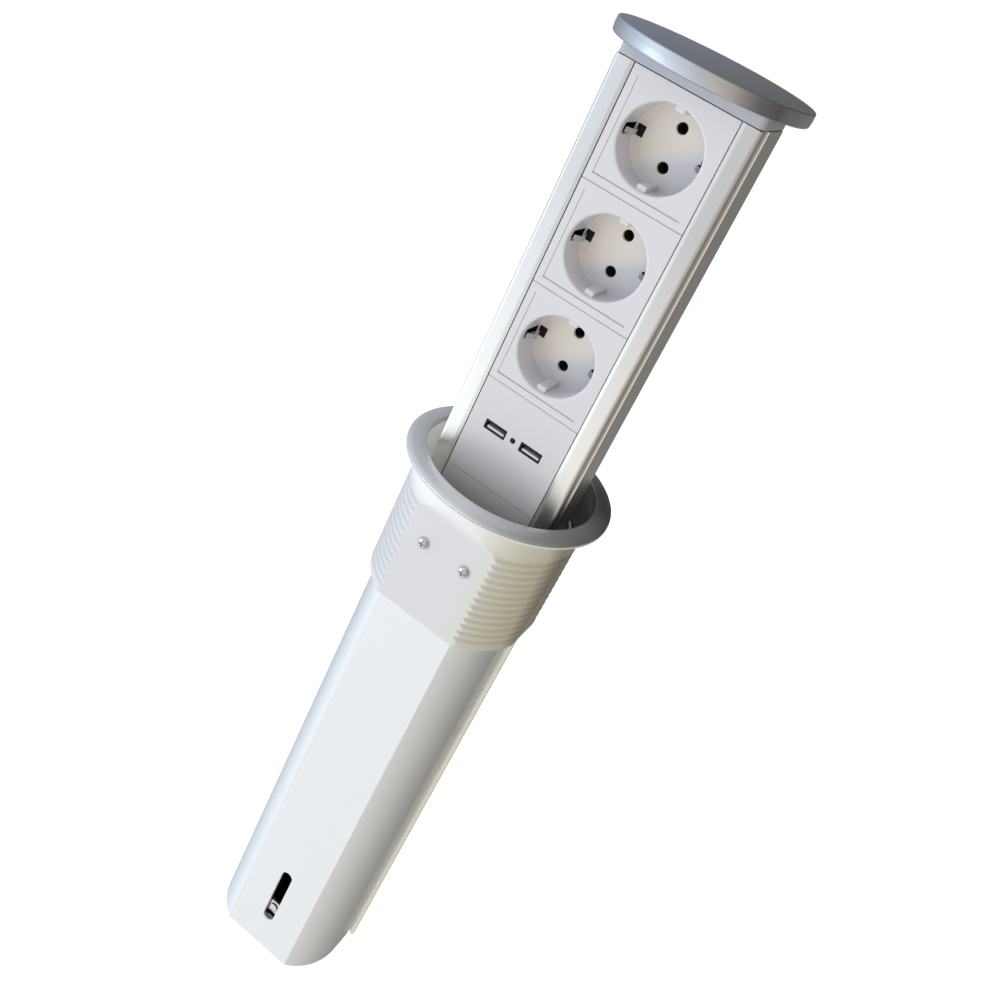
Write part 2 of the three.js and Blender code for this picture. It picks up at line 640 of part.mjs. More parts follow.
function buildSockets() {
  for (let i = 0; i < SOCKETS; i++) {
    const z = PANEL_TOP - MODULE * (i + 0.5);
    const n = i + 1;
    place(column, `socket_plate_${n}`, socketPlate().translate([0, 0, z]), whitePlastic);
    place(column, `earth_spring_${n}`, earthSpring(z), steel);
    place(column, `contact_carrier_${n}`, contactCarrier().translate([0, 0, z]), blackPlastic);
    for (const [line, s] of [['live', 1], ['neutral', -1]]) {
      const sleeve = contactSleeve().translate([0, 0, z + (s * PIN_SPACING) / 2]);
      place(column, `contact_sleeve_${line}_${n}`, sleeve, brass);
    }
  }
}

// Brass bars behind the carriers; tabs reach each live and neutral sleeve.
function buildBusbars() {
  const z0 = PANEL_TOP - SOCKETS * MODULE + 6;
  const z1 = PANEL_TOP - 8;
  const bars = { live: 1, neutral: -1 };
  for (const [line, s] of Object.entries(bars)) {
    const strip = [s * 4.5, s * 9.5].sort((a, b) => a - b);
    const reach = [s * -2.8, s * 4.6].sort((a, b) => a - b);
    let bar = block(strip[0], strip[1], BAR_FRONT, BAR_BACK, z0, z1);
    for (let i = 0; i < SOCKETS; i++) {
      const z = PANEL_TOP - MODULE * (i + 0.5) + (s * PIN_SPACING) / 2;
      bar = bar.add(block(reach[0], reach[1], BAR_FRONT, BAR_BACK, z - 2.8, z + 2.8));
    }
    place(column, `busbar_${line}`, bar, brass);
  }
  place(column, 'busbar_earth', block(12.5, 17.5, BAR_FRONT, BAR_BACK, z0, z1), brass);
}

function buildUsb() {
  const top = PANEL_TOP - SOCKETS * MODULE - 0.1;
  const bottom = top - MODULE + 0.2;
  const y1 = PANEL_Y + PLATE;
  const centres = [-1, 1].map((s) => USB_CENTRE_X + (s * USB_SPACING) / 2);
  const mouths = centres.map((x) => {
    const w = USB_W / 2 + GAP;
    const h = USB_H / 2 + GAP;
    return block(x - w, x + w, PANEL_Y - 1, y1 + 1, USB_Z - h, USB_Z + h);
  });
  const ledHole = rodY(LED_R + GAP, PANEL_Y - 1, y1 + 1, USB_CENTRE_X, USB_Z, 20);
  const panel = block(-PANEL_HALF, PANEL_HALF, PANEL_Y, y1, bottom, top);
  place(column, 'usb_panel', cut(panel, ...mouths, ledHole), whitePlastic);
  const fillerBottom = FOOT_TOP + GAP;
  const filler = block(-PANEL_HALF, PANEL_HALF, PANEL_Y, y1, fillerBottom, bottom - 0.2);
  place(column, 'filler_panel', filler, whitePlastic);

  centres.forEach((x, i) => {
    const w = USB_W / 2;
    const h = USB_H / 2;
    const wall = 0.5;
    const shell = block(x - w, x + w, PANEL_Y + 0.2, -10.3, USB_Z - h, USB_Z + h);
    const mouth = block(x - w + wall, x + w - wall, PANEL_Y, -10.8, USB_Z - h + wall, USB_Z + h - wall);
    const tongue = block(x - 5.2, x + 5.2, PANEL_Y + 0.9, -10.6, USB_Z - 1.5, USB_Z + 0.3);
    place(column, `usb_port_${i + 1}`, unite(shell.subtract(mouth), tongue), blackPlastic);
  });
  const board = block(-24, 24, -10, -8.4, 8, 48);
  place(column, 'usb_board', board, boardGreen);
  const lens = turnY([
    [0, PANEL_Y + 0.1], [LED_R - 0.4, PANEL_Y + 0.15], [LED_R, PANEL_Y + 0.5],
    [LED_R, -16], [0, -16],
  ], 20, USB_CENTRE_X, USB_Z);
  place(column, 'led_lens', lens, blackPlastic);
}

function buildFoot() {
  const body = block(-FOOT_HALF, FOOT_HALF, -24.5, 18.5, FOOT_BOTTOM, FOOT_TOP);
  const corners = raise(casingOutline(-CASING_WALL - 0.9), FOOT_BOTTOM, FOOT_TOP);
  const cablePass = block(-12, 12, -9, 7, FOOT_BOTTOM - 1, FOOT_TOP + 1);
  const drops = [-1, 1].map((s) => rodZ(SCREW_HOLE_R, -70, -50, s * CHANNEL_X, CHANNEL_Y, 16));
  const sinks = [-1, 1].map((s) => rodZ(CHANNEL_R, -70, -65.3, s * CHANNEL_X, CHANNEL_Y, 20));
  const foot = cut(body.intersect(corners), cablePass, ...drops, ...sinks);
  place(column, 'column_foot', foot, guidePlastic);
}

buildShells();
buildJointStrips();
buildPlug();
buildAnchor();
buildFlangeRing();
buildCollarFlange();
buildCollar();
buildGuides();
buildCap();
buildRails();
buildSockets();
buildBusbars();
buildUsb();
buildFoot();

export default model;
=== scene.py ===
"""Looks of the pull-up desk power tower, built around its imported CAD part.

All shapes are written in millimetres in the part's own frame: +Z up along the column,
-Y the front, and the origin on the collar's axis at the underside of the flange.
"""

import json
import math

import bmesh
import bpy
from mathutils import Matrix, Vector
from mathutils.geometry import tessellate_polygon


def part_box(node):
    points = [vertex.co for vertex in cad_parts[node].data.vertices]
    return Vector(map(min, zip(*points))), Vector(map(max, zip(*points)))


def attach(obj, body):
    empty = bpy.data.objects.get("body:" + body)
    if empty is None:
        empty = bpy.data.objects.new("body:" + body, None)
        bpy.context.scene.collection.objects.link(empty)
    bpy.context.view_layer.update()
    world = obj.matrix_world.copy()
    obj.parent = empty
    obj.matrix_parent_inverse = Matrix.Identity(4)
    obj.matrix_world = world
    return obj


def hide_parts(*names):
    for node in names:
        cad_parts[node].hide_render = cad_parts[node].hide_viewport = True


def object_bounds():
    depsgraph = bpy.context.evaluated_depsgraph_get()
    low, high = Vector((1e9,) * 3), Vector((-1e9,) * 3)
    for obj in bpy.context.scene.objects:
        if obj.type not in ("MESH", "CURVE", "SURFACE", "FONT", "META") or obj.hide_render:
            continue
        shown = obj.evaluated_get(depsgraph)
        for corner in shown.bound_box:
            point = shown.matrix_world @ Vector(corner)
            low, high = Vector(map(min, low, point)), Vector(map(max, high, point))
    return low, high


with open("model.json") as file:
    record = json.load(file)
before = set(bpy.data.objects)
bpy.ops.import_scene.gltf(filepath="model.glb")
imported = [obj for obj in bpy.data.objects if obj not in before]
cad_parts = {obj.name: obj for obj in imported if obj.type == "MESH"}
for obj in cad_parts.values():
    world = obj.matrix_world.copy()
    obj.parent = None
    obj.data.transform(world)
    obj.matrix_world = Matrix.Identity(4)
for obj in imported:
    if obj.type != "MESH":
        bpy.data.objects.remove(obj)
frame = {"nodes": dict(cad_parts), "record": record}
cad_low, cad_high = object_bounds()

MM = 0.001
SMOOTH_LIMIT = math.radians(32)      # a sharper turn than this shows as an edge
SIDES = (("left", -1), ("right", 1))

# The collar: thread, outer flats, bore and screws.
COLLAR_R = 47.6
THREAD_TOP = -17.2
THREAD_TURNS = 13
THREAD_PITCH = 4.4
THREAD_GROOVE = 3.0                  # width of the groove between two ribs
THREAD_DEPTH = 1.2
FLAT_TOP = -19.0
FLAT_Y = 40.5                        # front and rear flats
SIDE_FLAT_X = 46.9                   # side flats, at their top
SLOPE_TOP = -15.5                    # end of the slope above the front and rear flats
SLOPE_Y = 43.0
FLARE_START = -3.4                   # above it the flare is a full circle
NO_LIMIT = 90.0
MOUTH_R = 46.6                       # inner edge of the ring, the flange and the collar
BORE_R = 45.7
BORE_TOP = -13.0                     # below it the bore has flats
BORE_FLAT_Y = 39.2
BORE_FLAT_X = 44.4
LEDGE = -64.0                        # below it the collar closes in on the casing
COLLAR_SCREW_X = 12.5
CROSS = (1.9, 0.45)                  # half length and half width of a screw's slot

# The casing below it.
CASING_FLAT_HALF = 23.0
CASING_ARC_Y = 10.0                  # where the side arcs run into the straight sides
CASING_WALL = 1.6
GAP = 0.3                            # between the casing and what fits it
SLOT_HALF = 3.5
SLOT_BOTTOM = -334.0
SLOT_TOP = -290.0
PLUG_SCREW_X = 26

# The sockets on the column.
RECESS_R = 19.5
RECESS_DEPTH = 17.5
RECESS_FILLET = 0.8
PIN_SPACING = 19.0
PIN_HOLE_R = 2.7
WINDOW_HALF = 2.7
SEAM = 0.2                           # gap between a panel and a rail, beyond the CAD's


def edges_of(node):
    """Lowest and highest corner of a CAD node, in millimetres."""
    low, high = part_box(node)
    return low / MM, high / MM


# ------------------------------------------------------------------------ materials
# Places in the materials are in metres.

class Nodes:
    """Node tree of a material or a world."""

    def __init__(self, tree):
        self.tree = tree

    def node(self, kind, **values):
        made = self.tree.nodes.new(kind)
        for key, value in values.items():
            if key in made.inputs.keys():
                made.inputs[key].default_value = value
            else:
                setattr(made, key, value)
        return made

    def link(self, source, target):
        self.tree.links.new(source, target)

    def feed(self, source, target):
        """Sets a socket to a number, or links another socket to it."""
        if isinstance(source, float):
            target.default_value = source
        else:
            self.link(source, target)

    def compute(self, operation, *operands):
        made = self.node("ShaderNodeMath", operation=operation)
        for operand, target in zip(operands, made.inputs):
            self.feed(operand, target)
        return made.outputs["Value"]

    def product(self, a, b):
        return self.compute("MULTIPLY", a, b)

    def spread(self, fac, low, high, start=0.3, stop=0.7, **values):
        """A factor's stretch from start to stop becomes low to high, flat beyond it."""
        made = self.node("ShaderNodeMapRange", **values)
        made.inputs["From Min"].default_value = start
        made.inputs["From Max"].default_value = stop
        made.inputs["To Min"].default_value = low
        made.inputs["To Max"].default_value = high
        self.link(fac, made.inputs["Value"])
        return made.outputs["Result"]

    def rise(self, fac, start, stop):
        return self.spread(fac, 0.0, 1.0, start, stop)

    def fall(self, fac, start, stop):
        return self.spread(fac, 1.0, 0.0, start, stop)

    def split(self, vector):
        made = self.node("ShaderNodeSeparateXYZ")
        self.link(vector, made.inputs["Vector"])
        return [made.outputs[axis] for axis in "XYZ"]


class Finish(Nodes):
    """A procedural material being put together round one Principled shader."""

    def __init__(self, name, color, roughness, metallic=0.0, specular=0.5):
        self.material = bpy.data.materials.new(name)
        self.material.use_nodes = True
        super().__init__(self.material.node_tree)
        self.shader = self.tree.nodes["Principled BSDF"]
        self.shader.inputs["Metallic"].default_value = metallic
        self.shader.inputs["Roughness"].default_value = roughness
        self.shader.inputs["Specular IOR Level"].default_value = specular
        self.shader.inputs["Base Color"].default_value = (*color, 1)
        self.color = color

    def place(self, scale=(1, 1, 1)):
        """Object coordinates, stretched."""
        where = self.node("ShaderNodeTexCoord")
        mapping = self.node("ShaderNodeMapping")
        mapping.inputs["Scale"].default_value = scale
        self.link(where.outputs["Object"], mapping.inputs["Vector"])
        return mapping.outputs["Vector"]

    def noise(self, scale, detail=3.0, roughness=0.5, stretch=(1, 1, 1)):
        made = self.node("ShaderNodeTexNoise", Scale=scale, Detail=detail, Roughness=roughness)
        self.link(self.place(stretch), made.inputs["Vector"])
        return made.outputs["Fac"]

    def tint(self, fac, other, amount=1.0, start=0.3, stop=0.7):
        """Base colour drifts towards another colour along a factor."""
        mix = self.node("ShaderNodeMix", data_type="RGBA")
        mix.inputs["A"].default_value = (*self.color, 1)
        mix.inputs["B"].default_value = (*other, 1)
        self.link(self.spread(fac, 0.0, amount, start, stop), mix.inputs["Factor"])
        self.link(mix.outputs["Result"], self.shader.inputs["Base Color"])

    def axes(self):
        return self.split(self.place())

    def blend(self, fac, other):
        """Whatever the base colour is so far goes over to another colour along a factor."""
        target = self.shader.inputs["Base Color"]
        mix = self.node("ShaderNodeMix", data_type="RGBA")
        self.link(target.links[0].from_socket, mix.inputs["A"])
        mix.inputs["B"].default_value = (*other, 1)
        self.link(fac, mix.inputs["Factor"])
        self.link(mix.outputs["Result"], target)

    def glow(self, color, strength):
        self.shader.inputs["Emission Color"].default_value = (*color, 1)
        self.feed(strength, self.shader.inputs["Emission Strength"])

    def coat(self, weight, roughness):
        self.shader.inputs["Coat Weight"].default_value = weight
        self.shader.inputs["Coat Roughness"].default_value = roughness

    def gloss(self, fac, low, high):
        self.link(self.spread(fac, low, high), self.shader.inputs["Roughness"])

    def bump(self, height, strength, distance):
        made = self.node("ShaderNodeBump", Strength=strength, Distance=distance)
        self.link(height, made.inputs["Height"])
        self.link(made.outputs["Normal"], self.shader.inputs["Normal"])


def moulded(name, color, shade, roughness, grain=0.05, specular=0.5, swing=0.06):
    """Moulded plastic: faint flow clouding, fine spark-eroded grain, uneven gloss."""
    made = Finish(name, color, roughness, specular=specular)
    made.tint(made.noise(38.0, 2.0), shade, 0.8)
    made.gloss(made.noise(160.0, 4.0, 0.6), roughness - swing, roughness + swing)
    made.bump(made.noise(2600.0, 2.0), grain, 0.00002)
    return made


def metal(name, color, shade, roughness, stretch, streak=0.12, swing=0.05):
    """Metal with fine lines along the direction that its noise is stretched in."""
    made = Finish(name, color, roughness, metallic=1.0)
    lines = made.noise(900.0, 5.0, 0.65, stretch)
    made.tint(lines, shade, 0.7)
    made.gloss(made.noise(420.0, 3.0, 0.6, stretch), roughness - swing, roughness + swing)
    made.bump(lines, streak, 0.00002)
    return made


def white_plastic():
    """White plastic of the panels, greyer near the collar by painted shade and reflection; in a
    recess the lower part is cool and dull by painted shade, and the upper part of its floor has painted
    warm light and a painted glow."""
    made = moulded("white_plastic", (0.80, 0.795, 0.83), (0.79, 0.785, 0.82), 0.3, 0.012, swing=0.015)
    x, y, z = made.axes()
    # painted shade and reflection: the panels go greyer towards the collar, which shades them and whose
    # dark inside they reflect
    made.blend(made.spread(z, 0.75, 0.0, -0.012, 0.024), (0.44, 0.45, 0.44))
    deep = made.rise(y, -0.0195, -0.012)
    bottom = made.rise(y, -0.0058, -0.0050)
    socket_pitch = 0.053
    level = made.compute("FLOORED_MODULO", z, socket_pitch)
    slant = made.compute("MULTIPLY_ADD", x, -0.65, level)
    shadow = (0.0165, 0.0250)
    # painted shade: the lower part of each recess goes cool grey
    made.blend(made.product(deep, made.fall(slant, *shadow)), (0.68, 0.68, 0.73))
    # painted light: the upper part of each recess floor goes warm
    made.blend(made.product(bottom, made.rise(slant, *shadow)), (0.84, 0.79, 0.725))
    # painted glow: a warm emission on the upper left of each recess floor stands in for bounced light
    made.glow((1.0, 0.86, 0.66), made.product(bottom, made.spread(x, 0.05, 0.0, -0.014, 0.012)))
    made.coat(0.15, 0.12)
    return made.material


def grey_plastic():
    return moulded("grey_plastic", (0.56, 0.58, 0.64), (0.52, 0.54, 0.60), 0.42).material


def cream_plastic():
    """Pale translucent plastic: near white on the left by a painted cool sheen, its own cream
    towards the right; inside, a painted glow on the left stands for light that comes through the wall, and
    painted shade makes the right dark."""
    made = moulded("cream_plastic", (0.80, 0.80, 0.825), (0.785, 0.785, 0.81), 0.34, 0.02, swing=0.03)
    x, y, z = made.axes()
    # painted light: everything above z -0.01 m is paler, where the ring shades the flare
    made.blend(made.rise(z, -0.018, -0.010), (0.95, 0.95, 0.965))
    # painted cool sheen: the base is near white on the left and front and goes over to the plastic's own
    # cream towards the right
    made.blend(made.rise(x, 0.012, 0.034), (0.80, 0.775, 0.63))
    # painted shade: the far right side goes dark
    made.blend(made.rise(x, 0.0425, 0.0464), (0.43, 0.40, 0.33))
    # painted highlight: the collar flange's edge, above z 0, is near white
    made.blend(made.rise(z, 0.0, 0.0002), (0.97, 0.965, 0.95))
    inside = bore_mask(made, y, z)
    # painted shade: inside the bore on the right, where the column keeps the light off
    made.blend(made.product(inside, made.rise(x, 0.0, 0.02)), (0.12, 0.12, 0.125))
    # painted glow: a faint emission inside on the left stands for light that comes through the wall
    made.glow((0.86, 0.9, 0.74), made.product(inside, made.spread(x, 0.18, 0.0, -0.042, -0.002)))
    return made.material


def bore_mask(made, y, z):
    """1 on the collar's inner wall above its ledge and 0 on the outside. The wall lies
    further out in the mouth, above z -0.012 m, than below it."""
    flat = made.node("ShaderNodeVectorMath", operation="MULTIPLY")
    flat.inputs[1].default_value = (1, 1, 0)
    made.link(made.place(), flat.inputs[0])
    radius = made.node("ShaderNodeVectorMath", operation="LENGTH")
    made.link(flat.outputs["Vector"], radius.inputs[0])
    widening = made.spread(z, 0.0, 0.0007, -0.014, -0.012)
    reach = made.compute("SUBTRACT", radius.outputs["Value"], widening)
    inner = made.fall(reach, 0.0459, 0.0462)
    upper = made.rise(z, -0.046, -0.045)
    between_flats = made.fall(made.compute("ABSOLUTE", y), 0.0395, 0.0400)
    return made.product(made.product(inner, upper), between_flats)


def strip_plastic():
    made = moulded("strip_plastic", (0.90, 0.89, 0.80), (0.88, 0.87, 0.78), 0.36, 0.02, swing=0.03)
    # painted light: a faint glow lightens the strips, which the casing's curve shades
    made.glow((1.0, 0.98, 0.84), 0.12)
    return made.material


def guide_plastic():
    return moulded("guide_plastic", (0.045, 0.046, 0.05), (0.06, 0.06, 0.065), 0.5, 0.1).material


def black_plastic():
    return moulded("black_plastic", (0.006, 0.006, 0.007), (0.010, 0.010, 0.012), 0.42, 0.1, 0.25).material


def rubber():
    return moulded("rubber", (0.012, 0.012, 0.014), (0.022, 0.022, 0.024), 0.72, 0.25).material


def felt():
    made = Finish("felt", (0.035, 0.036, 0.04), 0.95)
    fibres = made.noise(1800.0, 6.0, 0.75, (1, 1, 0.25))
    made.tint(fibres, (0.07, 0.07, 0.078))
    made.bump(fibres, 0.7, 0.0002)
    made.shader.inputs["Sheen Weight"].default_value = 0.4
    return made.material


def satin_aluminium():
    """Satin metal of the rails, lines up and down, with painted light: painted shade makes the
    right rail darker and warmer, a painted sheen makes both paler towards the collar, and a painted
    highlight makes its outer side palest."""
    made = metal("satin_aluminium", (0.58, 0.59, 0.605), (0.565, 0.575, 0.59), 0.3,
                 stretch=(1, 1, 0.002), streak=0.002, swing=0.015)
    x, _, z = made.axes()
    # painted shade: the right rail is darker and warmer
    right = made.rise(x, 0.0, 0.01)
    made.blend(right, (0.50, 0.485, 0.485))
    # painted sheen: both rails go paler, and the right one creamier, towards the collar
    lower = made.fall(z, 0.0, 0.16)
    made.blend(made.product(lower, made.fall(x, 0.0, 0.01)), (0.82, 0.815, 0.80))
    made.blend(made.product(lower, right), (0.79, 0.755, 0.69))
    # painted highlight: the right rail's outer ridge is palest
    made.blend(made.rise(x, 0.0345, 0.0355), (0.92, 0.90, 0.87))
    return made.material


def cap_aluminium():
    """Brushed metal of the cap, with painted reflections: bluer on the left; its rim goes from a
    bright painted highlight through a painted dark band to a pale painted highlight at the right end."""
    made = metal("cap_aluminium", (0.50, 0.52, 0.58), (0.45, 0.47, 0.53), 0.33, (0.015, 1, 1), 0.2)
    x, _, z = made.axes()
    rim = made.fall(z, 0.2236, 0.2241)
    top = made.rise(z, 0.2236, 0.2241)
    # painted reflections on the top: bluer on the left, darker on the right
    made.blend(made.product(top, made.fall(x, -0.042, 0.01)), (0.60, 0.69, 0.92))
    made.blend(made.product(top, made.rise(x, 0.005, 0.035)), (0.35, 0.35, 0.38))
    # painted reflections on the rim: bluish on the left, a warm highlight, a dark band, then a pale end on
    # the right
    made.blend(made.product(rim, made.fall(x, -0.042, -0.008)), (0.54, 0.58, 0.66))
    made.blend(made.product(rim, made.rise(x, 0.008, 0.016)), (0.57, 0.555, 0.555))
    made.blend(made.product(rim, made.rise(x, 0.022, 0.032)), (0.28, 0.28, 0.32))
    made.blend(made.product(rim, made.rise(x, 0.039, 0.046)), (0.80, 0.86, 0.95))
    return made.material


def silver_coat():
    """Silver-white lacquer: a pale base with fine metallic flake under a clear coat; painted
    cool shade makes it a little darker and bluer on both sides of the casing."""
    made = Finish("silver_coat", (0.82, 0.835, 0.85), 0.36, metallic=0.25)
    flake = made.node("ShaderNodeTexVoronoi", Scale=5200.0)
    made.link(made.place(), flake.inputs["Vector"])
    made.tint(flake.outputs["Distance"], (0.90, 0.91, 0.92), 0.5, 0.1, 0.6)
    x = made.axes()[0]
    # painted shade: both sides of the casing go darker and bluer
    made.blend(made.fall(x, -0.035, -0.024), (0.66, 0.72, 0.79))
    made.blend(made.rise(x, 0.032, 0.039), (0.73, 0.755, 0.78))
    made.gloss(made.noise(120.0, 3.0), 0.32, 0.41)
    made.bump(made.noise(700.0, 2.0), 0.06, 0.00003)
    made.coat(0.2, 0.2)
    return made.material


def flange_silver():
    """Silver of the flange ring, with painted shade: darker towards the right and darkest at its right
    rear.
    """
    made = Finish("flange_silver", (0.94, 0.95, 0.98), 0.34, metallic=0.5)
    made.tint(made.noise(60.0, 3.0), (0.92, 0.93, 0.96), 0.7)
    x, y, _ = made.axes()
    # painted shade: darker towards the right, and deepest at the right rear
    made.blend(made.rise(x, 0.0, 0.056), (0.34, 0.34, 0.34))
    made.blend(made.product(made.rise(x, 0.012, 0.040), made.rise(y, -0.010, 0.015)), (0.13, 0.125, 0.11))
    made.gloss(made.noise(240.0, 3.0), 0.3, 0.4)
    made.bump(made.noise(2400.0, 2.0), 0.06, 0.00002)
    return made.material


def steel():
    return metal("steel", (0.66, 0.66, 0.67), (0.52, 0.52, 0.54), 0.2, (1, 0.1, 1)).material


def brass():
    # painted shade: the brass is made very dark, as it sits deep in the pin holes
    return metal("brass", (0.10, 0.082, 0.05), (0.07, 0.06, 0.04), 0.42, (1, 0.1, 1)).material


def floor_white():
    made = Finish("floor_white", (0.95, 0.95, 0.95), 0.9)
    made.glow((1, 1, 1), 0.8)
    made.tint(made.noise(3.0), (0.94, 0.94, 0.94))
    return made.material


def board():
    made = Finish("board", (0.02, 0.10, 0.045), 0.35)
    tracks = made.node("ShaderNodeTexBrick", Scale=420.0)
    tracks.inputs["Color1"].default_value = (0.02, 0.10, 0.045, 1)
    tracks.inputs["Color2"].default_value = (0.03, 0.15, 0.07, 1)
    tracks.inputs["Mortar"].default_value = (0.015, 0.07, 0.03, 1)
    made.link(made.place(), tracks.inputs["Vector"])
    made.link(tracks.outputs["Color"], made.shader.inputs["Base Color"])
    made.bump(tracks.outputs["Fac"], 0.2, 0.00005)
    return made.material


MATERIALS = {make.__name__: make() for make in (
    white_plastic, grey_plastic, cream_plastic, strip_plastic, guide_plastic, black_plastic, rubber,
    felt, satin_aluminium, cap_aluminium, silver_coat, flange_silver, steel, brass, board,
    floor_white,
)}


# ------------------------------------------------------------- outlines and meshes

def rounded(points, steps=4):
    """Closed outline; a corner given as (x, y, radius) becomes an arc."""
    out = []
    count = len(points)
    for i, point in enumerate(points):
        corner = Vector(point[:2])
        if len(point) < 3:
            out.append(tuple(corner))
            continue
        before = Vector(points[i - 1][:2]) - corner
        after = Vector(points[(i + 1) % count][:2]) - corner
        half = before.angle(after) / 2
        reach = min(point[2] / math.tan(half), 0.49 * before.length, 0.49 * after.length)
        radius = reach * math.tan(half)
        middle = (before.normalized() + after.normalized()).normalized()
        centre = corner + middle * (radius / math.sin(half))
        start = corner + before.normalized() * reach - centre
        stop = corner + after.normalized() * reach - centre
        turn = start.angle_signed(stop)
        for k in range(steps + 1):
            # angle_signed is clockwise-positive, and a Matrix.Rotation anticlockwise
            spot = centre + Matrix.Rotation(-turn * k / steps, 2) @ start
            out.append(tuple(spot))
    return out


def rectangle(u0, u1, v0, v1, radius, steps=3):
    return rounded([(u0, v0, radius), (u1, v0, radius), (u1, v1, radius), (u0, v1, radius)], steps)


def circle(cx, cy, radius, count):
    turns = [2 * math.pi * i / count for i in range(count)]
    return [(cx + radius * math.cos(t), cy + radius * math.sin(t)) for t in turns]


def stadium(half_width, low, high, steps=12):
    """Upright slot outline with round ends, centred on 0."""
    turns = [math.pi * i / steps for i in range(steps + 1)]
    arc = [(half_width * math.cos(t), half_width * math.sin(t)) for t in turns]
    top = [(x, high - half_width + y) for x, y in arc]
    bottom = [(-x, low + half_width - y) for x, y in arc]
    return top + bottom


def inset(points, depth):
    """Closed outline moved inwards; a negative depth moves it outwards."""
    count = len(points)
    area = sum(points[i - 1][0] * points[i][1] - points[i][0] * points[i - 1][1] for i in range(count))
    side = math.copysign(1, area)
    out = []
    for i in range(count):
        here = Vector(points[i])
        before = (here - Vector(points[i - 1])).normalized()
        after = (Vector(points[(i + 1) % count]) - here).normalized()
        n0 = Vector((-before.y, before.x)) * side
        n1 = Vector((-after.y, after.x)) * side
        out.append(tuple(here + (n0 + n1) * (depth / max(1 + n0.dot(n1), 0.35))))
    return out


# Turns a point (u, v) of an outline and its level w into x, y and z.
UPRIGHT = {
    "z": lambda u, v, w: (u, v, w),
    "y": lambda u, v, w: (u, w, v),
    "x": lambda u, v, w: (w, u, v),
}


class Shell:
    """Collects points in millimetres and faces, then becomes one mesh object. A material
    is given by its name in MATERIALS, here and in the functions below."""

    def __init__(self):
        self.points = []
        self.faces = []

    def ring(self, points):
        first = len(self.points)
        self.points.extend(points)
        return list(range(first, first + len(points)))

    def bridge(self, a, b):
        count = len(a)
        for i in range(count):
            j = (i + 1) % count
            self.faces.append((a[i], a[j], b[j], b[i]))

    def skin(self, rings):
        for a, b in zip(rings, rings[1:]):
            self.bridge(a, b)

    def fill(self, *rings):
        """Flat face inside the first ring and outside the others."""
        flat = [i for ring in rings for i in ring]
        for tri in tessellate_polygon([[Vector(self.points[i]) for i in ring] for ring in rings]):
            self.faces.append(tuple(flat[t] for t in tri))

    def build(self, name, material, smooth=SMOOTH_LIMIT):
        mesh = bpy.data.meshes.new(name)
        mesh.from_pydata([Vector(p) * MM for p in self.points], [], self.faces)
        mesh.materials.append(MATERIALS[material])
        made = show(name, mesh)
        clean(made)
        shade(made, smooth)
        return made


def show(name, data):
    made = bpy.data.objects.new(name, data)
    bpy.context.scene.collection.objects.link(made)
    return made


def discard(piece):
    mesh = piece.data
    bpy.data.objects.remove(piece)
    bpy.data.meshes.remove(mesh)


def clean(piece):
    """Welds double points and turns every face outwards."""
    work = bmesh.new()
    work.from_mesh(piece.data)
    bmesh.ops.remove_doubles(work, verts=work.verts, dist=1e-7)
    bmesh.ops.recalc_face_normals(work, faces=work.faces)
    work.to_mesh(piece.data)
    work.free()


def shade(piece, smooth=SMOOTH_LIMIT):
    """Smooth faces with sharp edges where the surface turns by more than the limit."""
    work = bmesh.new()
    work.from_mesh(piece.data)
    for edge in work.edges:
        edge.smooth = len(edge.link_faces) == 2 and edge.calc_face_angle(0) < smooth
    for face in work.faces:
        face.smooth = True
    work.to_mesh(piece.data)
    work.free()


def prism(name, outline, start, stop, material, axis="z", edge=0.25, steps=2, smooth=SMOOTH_LIMIT):
    """Outline carried along an axis, with rounded rims at both ends."""
    shell = Shell()
    levels = []
    for end, way in ((start, 1), (stop, -1)):
        rim = []
        for k in range(steps + 1):
            turn = math.pi / 2 * k / steps
            rim.append((edge * (1 - math.sin(turn)), end + way * edge * (1 - math.cos(turn))))
        levels.extend(rim if way > 0 else reversed(rim))
    rings = []
    for depth, level in levels:
        points = inset(outline, depth) if depth > 1e-6 else outline
        rings.append(shell.ring([UPRIGHT[axis](u, v, level) for u, v in points]))
    shell.skin(rings)
    shell.fill(rings[0])
    shell.fill(rings[-1])
    return shell.build(name, material, smooth)


def lathe(name, profile, material, axis="z", at=(0, 0), segments=96):
    """Open (radius, level) profile from pole to pole, or a closed one, turned round an axis."""
    shell = Shell()
    rings = []
    for r, level in profile:
        outline = [at] if r < 1e-6 else circle(*at, r, segments)
        rings.append(shell.ring([UPRIGHT[axis](u, v, level) for u, v in outline]))
    pairs = list(zip(rings, rings[1:]))
    if len(rings[0]) > 1:
        pairs.append((rings[-1], rings[0]))
    for a, b in pairs:
        if len(a) == 1 or len(b) == 1:
            pole, rim = (a[0], b) if len(a) == 1 else (b[0], a)
            for i in range(len(rim)):
                shell.faces.append((pole, rim[i], rim[(i + 1) % len(rim)]))
        else:
            shell.bridge(a, b)
    return shell.build(name, material)


def carve(piece, *cutters):
    """Takes the cutters out of the piece, for good, and removes them."""
    for cutter in cutters:
        modifier = piece.modifiers.new("carve", "BOOLEAN")
        modifier.operation = "DIFFERENCE"
        modifier.solver = "EXACT"
        modifier.object = cutter
    shaped = piece.evaluated_get(bpy.context.evaluated_depsgraph_get())
    mesh = bpy.data.meshes.new_from_object(shaped)
    piece.modifiers.clear()
    old = piece.data
    piece.data = mesh
    mesh.name = piece.name
    bpy.data.meshes.remove(old)
    for cutter in cutters:
        discard(cutter)
    shade(piece)


